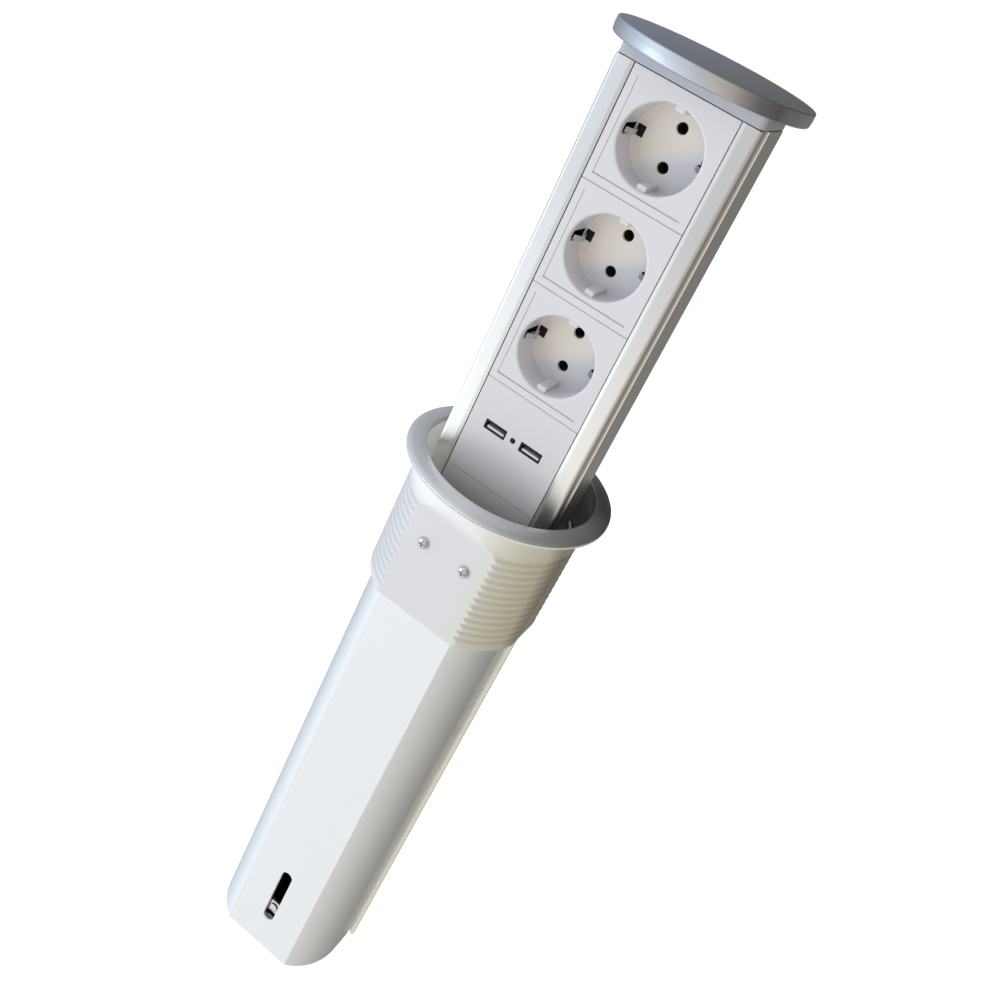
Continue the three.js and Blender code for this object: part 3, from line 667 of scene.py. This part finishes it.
def drill(name, x, y, radius, start, stop, axis, flare, mouth, segments=40):
    """Round cutter from start up to stop; it widens by the flare at the mouth's level."""
    profile = [(0, start), (radius + flare, start), (radius + flare, mouth)]
    for k in range(1, 4):
        turn = math.pi / 2 * k / 3
        profile.append((radius + flare * (1 - math.sin(turn)), mouth + flare * (1 - math.cos(turn))))
    profile += [(radius, stop), (0, stop)]
    return lathe(name, profile, "black_plastic", axis, (x, y), segments)


def crate(name, x0, x1, y0, y1, z0, z1, material, edge=0.2, axis="z", steps=2):
    """Rounded block between two corners, built as a prism along an axis."""
    spans = {"z": ((x0, x1), (y0, y1), (z0, z1)), "y": ((x0, x1), (z0, z1), (y0, y1)),
             "x": ((y0, y1), (z0, z1), (x0, x1))}
    across, up, along = spans[axis]
    return prism(name, rectangle(*across, *up, edge * 1.2), *along, material, axis, edge, steps)


def joined(name, *pieces):
    """Several mesh objects as one piece."""
    work = bmesh.new()
    for piece in pieces:
        work.from_mesh(piece.data)
    mesh = bpy.data.meshes.new(name)
    work.to_mesh(mesh)
    work.free()
    mesh.materials.append(pieces[0].data.materials[0])
    made = show(name, mesh)
    for piece in pieces:
        discard(piece)
    shade(made)
    return made


def install(piece, body, node):
    """Puts a piece on its body in place of a CAD node. Its large flat faces keep their own
    normals next to small bevels."""
    modifier = piece.modifiers.new("weighted", "WEIGHTED_NORMAL")
    modifier.keep_sharp = True
    modifier.weight = 50
    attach(piece, body)
    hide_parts(node)


# -------------------------------------------------------------------------- housing

def casing_arc(offset=0.0, steps=20):
    """Right front quarter of the casing's plan: from the flat's edge back to the side."""
    low, high = edges_of("front_shell")
    half, flat = high.x, -low.y
    run = half - CASING_FLAT_HALF
    rise = flat - CASING_ARC_Y
    r = (run * run + rise * rise) / (2 * run)
    centre = half - r
    spread = math.asin((flat + offset - CASING_ARC_Y) / (r + offset))
    points = []
    for i in range(steps + 1):
        turn = spread * (1 - i / steps)
        points.append((centre + (r + offset) * math.cos(turn),
                       -CASING_ARC_Y - (r + offset) * math.sin(turn)))
    return points


def casing_plan(offset, steps=20):
    """The casing's whole outline, moved outwards by the offset."""
    quarter = casing_arc(offset, steps)
    right = quarter + [(x, -y) for x, y in reversed(quarter)]
    return right + [(-x, y) for x, y in reversed(right)]


def casing_shell_outline(split, back):
    """C-shaped section of one casing shell."""
    outer = casing_arc()
    inner = casing_arc(-CASING_WALL)
    crisp = [(*outer[0], 0.5), *outer[1:]]
    right = [*crisp, (crisp[-1][0], split)]
    left = [(-p[0], *p[1:]) for p in reversed(right)]
    inside = [*inner, (inner[-1][0], split)]
    inside_left = [(-x, y) for x, y in reversed(inside)]
    points = rounded([*left, *right, *reversed(inside), *reversed(inside_left)], 4)
    return [(x, -y) for x, y in reversed(points)] if back else points


def slot_cutter(face):
    """Cutter for the slot in the front shell, with a soft rim on its face."""
    shape = stadium(SLOT_HALF, SLOT_BOTTOM, SLOT_TOP)
    rim = [(0.5, -1), (0.5, 0), (0.24, 0.12), (0.07, 0.3), (0, 0.55), (0, 4)]
    cutter = Shell()
    rings = [cutter.ring([(x, face + y, z) for x, z in inset(shape, -grow)]) for grow, y in rim]
    cutter.skin(rings)
    cutter.fill(rings[0])
    cutter.fill(rings[-1])
    return cutter.build("slot_cutter", "silver_coat")


def casing_shell(node, back):
    """Front or rear shell of the casing; the front one has the slot."""
    low, high = edges_of(node)
    outline = casing_shell_outline(-low.y if back else high.y, back)
    made = prism(f"{node}_skin", outline, low.z, high.z, "silver_coat", edge=0.35)
    if not back:
        carve(made, slot_cutter(low.y))
    install(made, "housing", node)


def joint_strip(side, s):
    node = f"joint_strip_{side}"
    low, high = edges_of(node)
    out = max(abs(low.x), abs(high.x))
    inside = min(abs(low.x), abs(high.x))
    y0, y1 = low.y, high.y
    wall = edges_of("front_shell")[1].x
    points = rounded([
        (inside, y0 + 1.2), (wall + 0.75, y0 + 1.2, 0.2), (wall + 0.85, y0, 0.3), (out - 0.95, y0, 0.15),
        (out - 0.85, y0 + 0.4, 0.1), (out - 0.6, y0 + 0.4, 0.1), (out - 0.5, y0, 0.15), (out, y0, 0.45),
        (out, y1, 0.6), (inside, y1),
    ], 4)
    outline = [(s * x, y) for x, y in points]
    made = prism(f"{node}_skin", outline, low.z, high.z, "strip_plastic", edge=0.5, steps=3)
    install(made, "housing", node)


def flange_ring():
    low, high = edges_of("flange_ring")
    rim, seat, top = high.x, low.z, high.z
    profile = rounded([
        (MOUTH_R, seat), (MOUTH_R, top, 1.1), (50.4, top - 0.02, 9.0), (54.4, top - 1.0, 6.0),
        (rim, top - 2.4, 0.8), (rim - 0.25, seat, 0.25),
    ], 7)
    made = lathe("flange_ring_skin", profile, "flange_silver", segments=192)
    install(made, "housing", "flange_ring")


def collar_flange():
    low, high = edges_of("collar_flange")
    rim, under, top = high.x, low.z, high.z
    inner = MOUTH_R - 0.05
    profile = rounded([(inner, under), (inner, top), (rim, top, 0.3), (rim, under, 0.5)], 4)
    made = lathe("collar_flange_skin", profile, "cream_plastic", segments=192)
    install(made, "housing", "collar_flange")


def thread_radius(z):
    """Collar radius with its soft thread ribs."""
    turns = (THREAD_TOP - z) / THREAD_PITCH
    if turns < 0 or turns > THREAD_TURNS:
        return COLLAR_R
    step = (turns - math.floor(turns)) * THREAD_PITCH
    if step > THREAD_GROOVE:
        return COLLAR_R
    return COLLAR_R - THREAD_DEPTH * math.sin(math.pi * step / THREAD_GROOVE) ** 1.6


def between(z, z0, z1, start, stop):
    """Value that runs from start at level z0 to stop at level z1."""
    return start + (stop - start) * (z - z0) / (z1 - z0)


def front_limit(z):
    """How far forward the collar reaches at a level: flat, slope, then the full flare."""
    if z <= FLAT_TOP:
        return FLAT_Y
    if z <= SLOPE_TOP:
        return between(z, FLAT_TOP, SLOPE_TOP, FLAT_Y, SLOPE_Y)
    if z <= FLARE_START:
        return between(z, SLOPE_TOP, FLARE_START, SLOPE_Y, 52.5)
    return NO_LIMIT


def side_limit(z, bottom):
    """How far sideways the collar reaches: the side flats lean in towards the bottom."""
    blend_top = FLAT_TOP + 6
    if z <= FLAT_TOP:
        return between(z, FLAT_TOP, bottom, SIDE_FLAT_X, SIDE_FLAT_X - 1.2)
    if z <= blend_top:
        return between(z, FLAT_TOP, blend_top, SIDE_FLAT_X, SIDE_FLAT_X + 2.2)
    return NO_LIMIT


def collar_ring(z, radius, front, side, per=26):
    """One level of the collar: a circle cut by front, rear and side limits, with points
    kept on the edges of the cuts. Each quarter has three stretches of `per` points."""
    front, side = min(front, radius), min(side, radius)
    front_edge = max(math.acos(front / radius), math.radians(20))
    side_edge = math.pi / 2 - max(math.acos(side / radius), math.radians(6))
    stops = [0.0, front_edge, side_edge, math.pi / 2]
    quarter = []
    for lo, hi in zip(stops, stops[1:]):
        quarter.extend(lo + (hi - lo) * i / per for i in range(per))
    angles = quarter + [math.pi - t for t in reversed(quarter[1:] + [math.pi / 2])]
    angles += [math.pi + t for t in angles]
    points = []
    for t in angles:
        reach = radius
        if abs(math.cos(t)) > 1e-9:
            reach = min(reach, front / abs(math.cos(t)))
        if abs(math.sin(t)) > 1e-9:
            reach = min(reach, side / abs(math.sin(t)))
        points.append((reach * math.sin(t), -reach * math.cos(t), z))
    return points


def collar_outside(shell, top, bottom):
    """Rings down the outside: flare, thread and rounded lower rim."""
    levels = [(51.35, top), (51.0, -1.0), (50.6, -2.2), (50.2, -4.0), (49.75, -6.5), (49.2, -9.0),
              (48.6, -11.5), (48.0, -14.0), (47.65, -15.6)]
    z = THREAD_TOP + 1
    while z > bottom + 1.2:
        levels.append((thread_radius(z), z))
        z -= THREAD_PITCH / 16
    levels += [(COLLAR_R, bottom + 0.7), (47.5, bottom + 0.3), (47.2, bottom)]
    rings = [shell.ring(collar_ring(z, r, front_limit(z), side_limit(z, bottom))) for r, z in levels]
    shell.skin(rings)
    return rings


def collar_inside(shell, top):
    """Rings up the inside, from the ledge to the mouth; only the bore has flats."""
    rings = []
    for r, z in [(BORE_R, LEDGE), (BORE_R, -20.0), (BORE_R, -12.0), (BORE_R, -3.0),
                 (MOUTH_R - 0.1, top - 0.5), (MOUTH_R, top)]:
        limits = (MOUTH_R - 0.1, NO_LIMIT) if z > BORE_TOP else (BORE_FLAT_Y, BORE_FLAT_X)
        rings.append(shell.ring(collar_ring(z, r, *limits)))
    shell.skin(rings)
    return rings


def collar():
    low, high = edges_of("collar")
    top, bottom = high.z, low.z
    shell = Shell()
    outside = collar_outside(shell, top, bottom)
    inside = collar_inside(shell, top)
    shell.bridge(inside[-1], outside[0])
    plan = casing_plan(GAP, 40)
    upper = shell.ring([(x, y, LEDGE) for x, y in plan])
    lower = shell.ring([(x, y, bottom) for x, y in plan])
    shell.bridge(upper, lower)
    shell.fill(inside[0], upper)
    shell.fill(outside[-1], lower)
    made = shell.build("collar_skin", "cream_plastic", math.radians(38))
    install(made, "housing", "collar")


def collar_screw(node, x, z, out):
    """Cross-head screw on a flat of the collar; out is -1 on the front and 1 on the rear."""
    look = "steel"
    face = out * FLAT_Y
    dome = [(0, 2.1), (0.9, 2.07), (1.8, 1.86), (2.5, 1.5), (2.95, 1.05), (3.15, 0.6), (3.2, 0.25),
            (3.0, 0.05), (0, 0.05)]
    made = lathe(f"{node}_head", [(r, face + out * h) for r, h in dome], look, "y", (x, z), 48)
    deep, over = sorted((face + out * 0.45, face + out * 3))
    for a, b in (CROSS, CROSS[::-1]):
        carve(made, crate("cross", x - a, x + a, deep, over, z - b, z + b, look, 0.08, "y"))
    install(made, "housing", node)


def collar_screws():
    for face, out in (("front", -1), ("rear", 1)):
        for side, s in SIDES:
            node = f"collar_screw_{face}_{side}"
            low, high = edges_of(node)
            collar_screw(node, s * COLLAR_SCREW_X, (low.z + high.z) / 2, out)


def anchor_bars():
    for name in ("upper", "lower"):
        node = f"anchor_bar_{name}"
        low, high = edges_of(node)
        bar = crate(f"{node}_skin", low.x, high.x, low.y, high.y, low.z, high.z, "steel", 0.45, "x")
        install(bar, "housing", node)


def anchor_screw():
    """Slotted screw between the bars, seen through the casing's slot."""
    low, high = edges_of("anchor_screw")
    z = (low.z + high.z) / 2
    y = low.y
    profile = [(0, y), (1.6, y), (2.3, y + 0.12), (2.75, y + 0.4), (2.8, y + 0.75), (0, y + 0.75)]
    head = lathe("anchor_screw_head", profile, "steel", "y", (0, z), 40)
    long, narrow = CROSS
    carve(head, crate("cross", -narrow, narrow, y - 1, y + 0.4, z - long, z + long, "steel", 0.05, "y"))
    install(head, "housing", "anchor_screw")


def grommet():
    low, high = edges_of("cable_grommet")
    r, z0, z1 = high.x, low.z, high.z
    bore, neck, lip = 4.2, 8, 9.4
    profile = rounded([
        (bore, z0, 0.5), (r, z0, 1.1), (r, z0 + 3.4, 0.3), (neck, z0 + 3.4), (neck, z0 + 13.8),
        (lip, z0 + 13.8, 0.3), (lip, z1 - 1, 0.4), (7, z1, 0.4), (bore, z1, 0.4),
    ], 5)
    made = lathe("cable_grommet_skin", profile, "rubber", segments=64)
    install(made, "housing", "cable_grommet")


def plug():
    """Plate that closes the casing, with the lead's outlet and two posts for the bars."""
    low, high = edges_of("bottom_plug")
    look = "black_plastic"
    plate_top, outlet_r = -346, 8.35
    outline = casing_plan(-CASING_WALL - GAP)
    made = prism("bottom_plug_skin", outline, low.z, plate_top, look, edge=0.5, steps=3)
    carve(made, drill("outlet", 0, 0, outlet_r, low.z - 1, plate_top + 1, "z", 0.3, low.z, 48))
    post_x, half = 15.25, 2.75
    posts = []
    for x in (-post_x, post_x):
        posts.append(crate("post", x - half, x + half, -33.6, -27, plate_top - 1, high.z, look, 0.3))
    install(joined("bottom_plug_skin", made, *posts), "housing", "bottom_plug")


def plug_screws():
    look = "steel"
    for side, s in SIDES:
        node = f"plug_screw_{side}"
        x, z = s * PLUG_SCREW_X, edges_of(node)[0].z
        profile = [(0, z), (1.5, z), (2.3, z + 0.15), (2.9, z + 0.6), (3.1, z + 1.2), (3.1, z + 1.9),
                   (0, z + 1.9)]
        head = lathe(f"{node}_head", profile, look, "z", (x, 0), 40)
        for a, b in ((2, 0.4), (0.4, 2)):
            carve(head, crate("cross", x - a, x + a, -b, b, z - 1, z + 0.9, look, 0.05))
        install(head, "housing", node)


# --------------------------------------------------------------------------- column

def cap():
    low, high = edges_of("cap")
    r, z0, z1 = high.x, low.z, high.z
    profile = [(0, z0), *rounded([
        (0.01, z0), (r - 0.35, z0, 1.4), (r - 0.1, z0 + 2.2, 3.0), (r, z0 + 3.6, 4.0),
        (r - 0.12, z1, 0.75), (0.01, z1),
    ], 6)[1:-1], (0, z1)]
    made = lathe("cap_lid", profile, "cap_aluminium", segments=192)
    install(made, "column", "cap")


def head_block():
    low, high = edges_of("head_block")
    x, y0, y1 = high.x, low.y, high.y
    outline = rounded([(-x, y0, 3.0), (x, y0, 3.0), (x, y1, 2.0), (-x, y1, 2.0)], 8)
    made = prism("head_block_skin", outline, low.z, high.z, "grey_plastic", edge=0.3)
    install(made, "column", "head_block")


def rail(side, s):
    """Rounded front lip, a groove and a fine ridge down the side, and a hollow back."""
    node = f"rail_{side}"
    low, high = edges_of(node)
    ridge = max(abs(low.x), abs(high.x))
    x = ridge - 0.3
    wall = x - 2.1
    front, back = low.y, high.y
    points = rounded([
        (26.5, front + 0.45), (28.2, front + 0.12, 1.2), (x, front, 3.0), (x, -18.45, 0.15),
        (x - 1.1, -18.3), (x - 1.1, -17.5), (x - 0.4, -17.25, 0.15), (x - 0.4, -11.1, 0.2),
        (ridge, -10.85, 0.2), (ridge, -10.25, 0.2), (x, -9.9, 0.2), (x, back, 2.0),
        (29.5, back, 0.2), (29.5, back - 1.8), (wall, back - 1.8), (wall, -17.0),
        (24.4, -17.0), (24.4, -18.9), (26.5, -18.9),
    ], 6)
    outline = [(s * a, b) for a, b in points]
    made = prism(f"{node}_profile", outline, low.z, high.z, "satin_aluminium", edge=0.12,
                 smooth=math.radians(28))
    install(made, "column", node)


def back_panel():
    low, high = edges_of("back_panel")
    y0, y1 = low.y, high.y
    half, step = 29.2, y1 - 2.0
    points = rounded([
        (low.x, y0), (high.x, y0), (high.x, step), (half, step), (half, y1, 0.4), (-half, y1, 0.4),
        (-half, step), (low.x, step),
    ], 4)
    made = prism("back_panel_skin", points, low.z, high.z, "satin_aluminium", edge=0.15)
    install(made, "column", "back_panel")


def groove(x0, x1, z0, z1, face, depth):
    """Cutter for an engraved line."""
    outline = rectangle(x0, x1, z0, z1, 0.1, 2)
    return prism("line", outline, face - 1, face + depth, "white_plastic", "y", edge=0.1)


def plate_moulding(name, low, high):
    """Plate with a rounded rim and the cup of its recess behind it, as one closed shell."""
    face, back, mid = low.y, high.y, (low.z + high.z) / 2
    floor = face + RECESS_DEPTH
    thick, wall, edge = 2.5, 1.8, 0.28
    shell = Shell()
    outline = rectangle(low.x + SEAM, high.x - SEAM / 2, low.z, high.z, 0.3)
    rim = []
    for grow, y in ((edge, face), (edge * 0.3, face + edge * 0.3), (0, face + edge), (0, face + thick)):
        rim.append(shell.ring([(x, y, z) for x, z in inset(outline, grow)]))
    shell.skin(rim)

    def cup(levels):
        rings = [shell.ring([(x, y, z) for x, z in circle(0, mid, r, 128)]) for r, y in levels]
        shell.skin(rings)
        return rings

    mouth = [(1.35, 0), (0.85, 0.05), (0.45, 0.22), (0.15, 0.5), (0, 1.0)]
    levels = [(RECESS_R + grow, face + deep) for grow, deep in mouth]
    for k in range(7):
        turn = math.pi / 2 * k / 6
        levels.append((RECESS_R - RECESS_FILLET * (1 - math.cos(turn)),
                       floor - RECESS_FILLET * (1 - math.sin(turn))))
    inside = cup(levels)
    shell.fill(rim[0], inside[0])
    shell.fill(inside[-1])
    outer = RECESS_R + wall
    outside = cup([(outer, face + thick), (outer, back - 0.6), (outer - 0.6, back)])
    shell.fill(rim[-1], outside[0])
    shell.fill(outside[-1])
    return shell.build(name, "white_plastic")


def plate_cutters(face, back, mid):
    """Pin holes, windows for the earth spring and engraved lines of one plate."""
    floor = face + RECESS_DEPTH
    cutters = []
    for s in (-1, 1):
        z = mid + s * PIN_SPACING / 2
        cutters.append(drill("pin", 0, z, PIN_HOLE_R, floor - 3, back + 1, "y", 0.55, floor))
        x0, x1 = sorted((s * 14.6, s * 24))
        z0, z1 = mid - WINDOW_HALF, mid + WINDOW_HALF
        cutters.append(crate("window", x0, x1, face + 3.6, back + 1, z0, z1, "white_plastic", 0.3))
    cutters.append(groove(-22.55, -22.05, mid - 22.3, mid + 22.3, face, 0.6))
    cutters.append(groove(-22.5, 22.3, mid - 22.7, mid - 22.0, face, 1.1))
    return cutters


def plate_ribs(face, mid):
    """Guide ribs at the top and bottom of a recess, and a thin bar at the floor in each
    of its windows."""
    look = "white_plastic"
    floor = face + RECESS_DEPTH
    ribs = []
    for s in (-1, 1):
        z0, z1 = sorted((mid + s * 16.9, mid + s * (RECESS_R + 0.4)))
        ribs.append(crate("rib", -2.4, 2.4, face + 2.0, floor + 0.3, z0, z1, look, 0.5, "y", 3))
        x0, x1 = sorted((s * 18.75, s * RECESS_R))
        ribs.append(crate("bar", x0, x1, floor - 1.0, floor + 0.1, mid - 2.9, mid + 2.9, look, 0.15))
    return ribs


def socket_plate(n):
    node = f"socket_plate_{n}"
    low, high = edges_of(node)
    mid = (low.z + high.z) / 2
    made = plate_moulding(f"{node}_moulding", low, high)
    carve(made, *plate_cutters(low.y, high.y, mid))
    made = joined(f"{node}_moulding", made, *plate_ribs(low.y, mid))
    install(made, "column", node)


def spring_arm(s, mid):
    """Bent arm of an earth spring, from behind the recess's wall to its foot."""
    thick = 0.7
    run = [(17.9, -2.0), (18.25, -5.4), (16.2, -10.6), (15.4, -13.2), (16.4, -15.6), (18.9, -17.6)]
    left, right = [], []
    for i, point in enumerate(run):
        here = Vector(point)
        a = (here - Vector(run[i - 1])).normalized() if i else Vector((0, -1))
        b = (Vector(run[i + 1]) - here).normalized() if i + 1 < len(run) else a
        across = (a + b).normalized()
        normal = Vector((-across.y, across.x)) * (thick / 2)
        left.append(tuple(here + normal))
        right.append(tuple(here - normal))
    outline = [(s * x, y) for x, y in left + right[::-1]]
    return prism("arm", outline, mid - 1.3, mid + 1.1, "steel", "z", 0.15)


def earth_spring(n):
    node = f"earth_spring_{n}"
    low, high = edges_of(node)
    mid = (low.z + high.z) / 2
    look = "steel"
    arms = [spring_arm(s, mid) for s in (-1, 1)]
    bridge = crate("bridge", -18.6, 18.6, -2.1, -1.4, mid - 2.8, mid + 2.8, look, 0.15)
    tail = crate("tail", 14.1, 14.8, -1.6, 8.9, mid - 2.8, mid + 2.8, look, 0.1)
    install(joined(f"{node}_strip", *arms, bridge, tail), "column", node)


def spring_pockets(n):
    """Hollow black boxes behind the two windows of a recess."""
    low, high = edges_of(f"socket_plate_{n}")
    face, back, mid = low.y, high.y, (low.z + high.z) / 2
    look = "black_plastic"

    def block(name, s, near, far, y0, y1, half, edge):
        x0, x1 = sorted((s * near, s * far))
        return crate(name, x0, x1, y0, y1, mid - half, mid + half, look, edge)

    for side, s in SIDES:
        made = block("pocket", s, 19.75, 26.0, face + 3.2, back - 0.1, 3.9, 0.2)
        carve(made, block("room", s, 18.0, 25.4, face + 3.6, back - 0.7, 3.4, 0.2))
        foot = block("foot", s, 13.0, 20.0, face + 18.4, back - 0.1, 3.7, 0.1)
        made = joined(f"spring_pocket_{n}_{side}", made, foot)
        install(made, "column", f"contact_carrier_{n}")


def plain_panel(node):
    """White panel between the rails, as far as its CAD node goes less the seams."""
    low, high = edges_of(node)
    return crate(f"{node}_skin", low.x + SEAM, high.x - SEAM, low.y, high.y, low.z, high.z,
                 "white_plastic", 0.28, "y")


def usb_panel():
    low, high = edges_of("usb_panel")
    made = plain_panel("usb_panel")
    room = 0.1
    for i in (1, 2):
        a, b = edges_of(f"usb_port_{i}")
        outline = rectangle(a.x - room, b.x + room, a.z - room, b.z + room, 0.3)
        carve(made, prism("mouth", outline, low.y - 1, high.y + 1, "white_plastic", "y", 0.05))
    a, b = edges_of("led_lens")
    x, z = (a.x + b.x) / 2, (a.z + b.z) / 2
    carve(made, drill("led_hole", x, z, 1.5, low.y - 1, high.y + 1, "y", 0.12, low.y, 32))
    install(made, "column", "usb_panel")


def filler_panel():
    install(plain_panel("filler_panel"), "column", "filler_panel")


def usb_port(i):
    node = f"usb_port_{i}"
    low, high = edges_of(node)
    look = "black_plastic"
    made = crate(f"{node}_shell", low.x, high.x, low.y, high.y, low.z, high.z, look, 0.15, "y")
    side, base, head = 0.9, 0.8, 1.1
    outline = rectangle(low.x + side, high.x - side, low.z + base, high.z - head, 0.2)
    carve(made, prism("mouth", outline, low.y - 1, high.y - 0.6, look, "y", 0.1))
    install(made, "column", node)
    tongue = crate(f"usb_tongue_{i}", low.x + 1.45, high.x - 0.95, low.y + 0.5, high.y - 0.4,
                   low.z + 0.85, low.z + 2.15, "white_plastic", 0.12, "y")
    install(tongue, "column", node)


def led_lens():
    low, high = edges_of("led_lens")
    r = (high.x - low.x) / 2
    x, z = (low.x + high.x) / 2, (low.z + high.z) / 2
    y0, y1 = low.y, high.y
    profile = [(0, y0), (0.5, y0 + 0.03), (0.95, y0 + 0.14), (1.25, y0 + 0.32), (r, y0 + 0.6), (r, y1),
               (0, y1)]
    made = lathe("led_lens_dome", profile, "black_plastic", "y", (x, z), 40)
    install(made, "column", "led_lens")


# ------------------------------------------------------------------ scene and camera

def dress_cad_nodes():
    """Inner pieces keep their CAD shape and get the procedural material of their slot."""
    slots = {row["node"]: row["material_slot"] for row in frame["record"]["subparts"]}
    for name, node in frame["nodes"].items():
        node.data.materials.clear()
        node.data.materials.append(MATERIALS[slots[name]])


def camera():
    """Camera of the reference view: it looks down from the front right, and is rolled so
    that the tower's axis leans to the right."""
    data = bpy.data.cameras.new("camera")
    data.sensor_width = 36.0
    data.lens = 36.606
    data.shift_x = -0.07321
    data.shift_y = -0.11852
    data.clip_start, data.clip_end = 0.01, 50.0
    place = Vector((122.04, -436.08, 263.4)) * MM
    azimuth, elevation, roll = map(math.radians, (14.7617, 23.9162, 27.1671))
    turn = Matrix.Rotation(azimuth, 4, "Z")
    turn = turn @ Matrix.Rotation(math.pi / 2 - elevation, 4, "X")
    turn = turn @ Matrix.Rotation(roll, 4, "Z")
    made = show("camera", data)
    made.matrix_world = Matrix.Translation(place) @ turn
    bpy.context.scene.camera = made


def studio_floor():
    """Plain pale floor well below the tower."""
    shell = Shell()
    size, z = 9000.0, cad_low.z / MM - 420.0
    shell.fill(shell.ring([(-size, -size, z), (size, -size, z), (size, size, z), (-size, size, z)]))
    piece = shell.build("floor", "floor_white")
    piece.visible_diffuse = False
    piece.visible_glossy = False
    piece.visible_shadow = False


def studio():
    """White surround for the camera; for the light a soft studio that is brightest in
    front, cool on the left, and dim and warm on the right."""
    world = bpy.data.worlds.new("studio")
    bpy.context.scene.world = world
    world.use_nodes = True
    made = Nodes(world.node_tree)
    made.tree.nodes.clear()

    def span(direction, low, high):
        return made.spread(direction, low, high, -1, 1, interpolation_type="SMOOTHSTEP")

    x, y, z = made.split(made.node("ShaderNodeTexCoord").outputs["Generated"])
    level = made.product(made.product(span(x, 0.84, 0.29), span(y, 1.95, 0.42)), span(z, 1.1, 0.66))
    hue = made.node("ShaderNodeMix", data_type="RGBA")
    hue.inputs["A"].default_value = (0.89, 0.97, 1.05, 1)
    hue.inputs["B"].default_value = (1.08, 1.0, 0.90, 1)
    made.link(span(x, 0.0, 1.0), hue.inputs["Factor"])
    lit = made.node("ShaderNodeBackground")
    made.link(hue.outputs["Result"], lit.inputs["Color"])
    made.link(level, lit.inputs["Strength"])
    seen = made.node("ShaderNodeBackground", Color=(1, 1, 1, 1), Strength=1.05)
    mix = made.node("ShaderNodeMixShader")
    made.link(made.node("ShaderNodeLightPath").outputs["Is Camera Ray"], mix.inputs["Fac"])
    made.link(lit.outputs["Background"], mix.inputs[1])
    made.link(seen.outputs["Background"], mix.inputs[2])
    made.link(mix.outputs["Shader"], made.node("ShaderNodeOutputWorld").inputs["Surface"])


def key_light():
    """Cool softbox on the left, below the collar, that shows only as a sheen."""
    data = bpy.data.lights.new("key_left", "AREA")
    data.shape = "RECTANGLE"
    data.size, data.size_y = 0.5, 1.0
    data.energy = 1.6
    data.color = (0.9, 0.97, 1.0)
    made = show("key_left", data)
    made.location = (-0.85, -0.7, -0.35)
    way = Vector((0, 0, -0.05)) - made.location
    made.rotation_mode = "QUATERNION"
    made.rotation_quaternion = way.to_track_quat("-Z", "Y")
    made.visible_camera = False
    made.visible_diffuse = False


dress_cad_nodes()
casing_shell("front_shell", back=False)
casing_shell("rear_shell", back=True)
for side, s in SIDES:
    joint_strip(side, s)
flange_ring()
collar_flange()
collar()
collar_screws()
anchor_bars()
anchor_screw()
grommet()
plug()
plug_screws()
cap()
head_block()
for side, s in SIDES:
    rail(side, s)
back_panel()
for number in (1, 2, 3):
    socket_plate(number)
    earth_spring(number)
    spring_pockets(number)
usb_panel()
filler_panel()
for number in (1, 2):
    usb_port(number)
led_lens()
camera()
studio_floor()
studio()
key_light()
bpy.context.scene.view_settings.view_transform = "Standard"
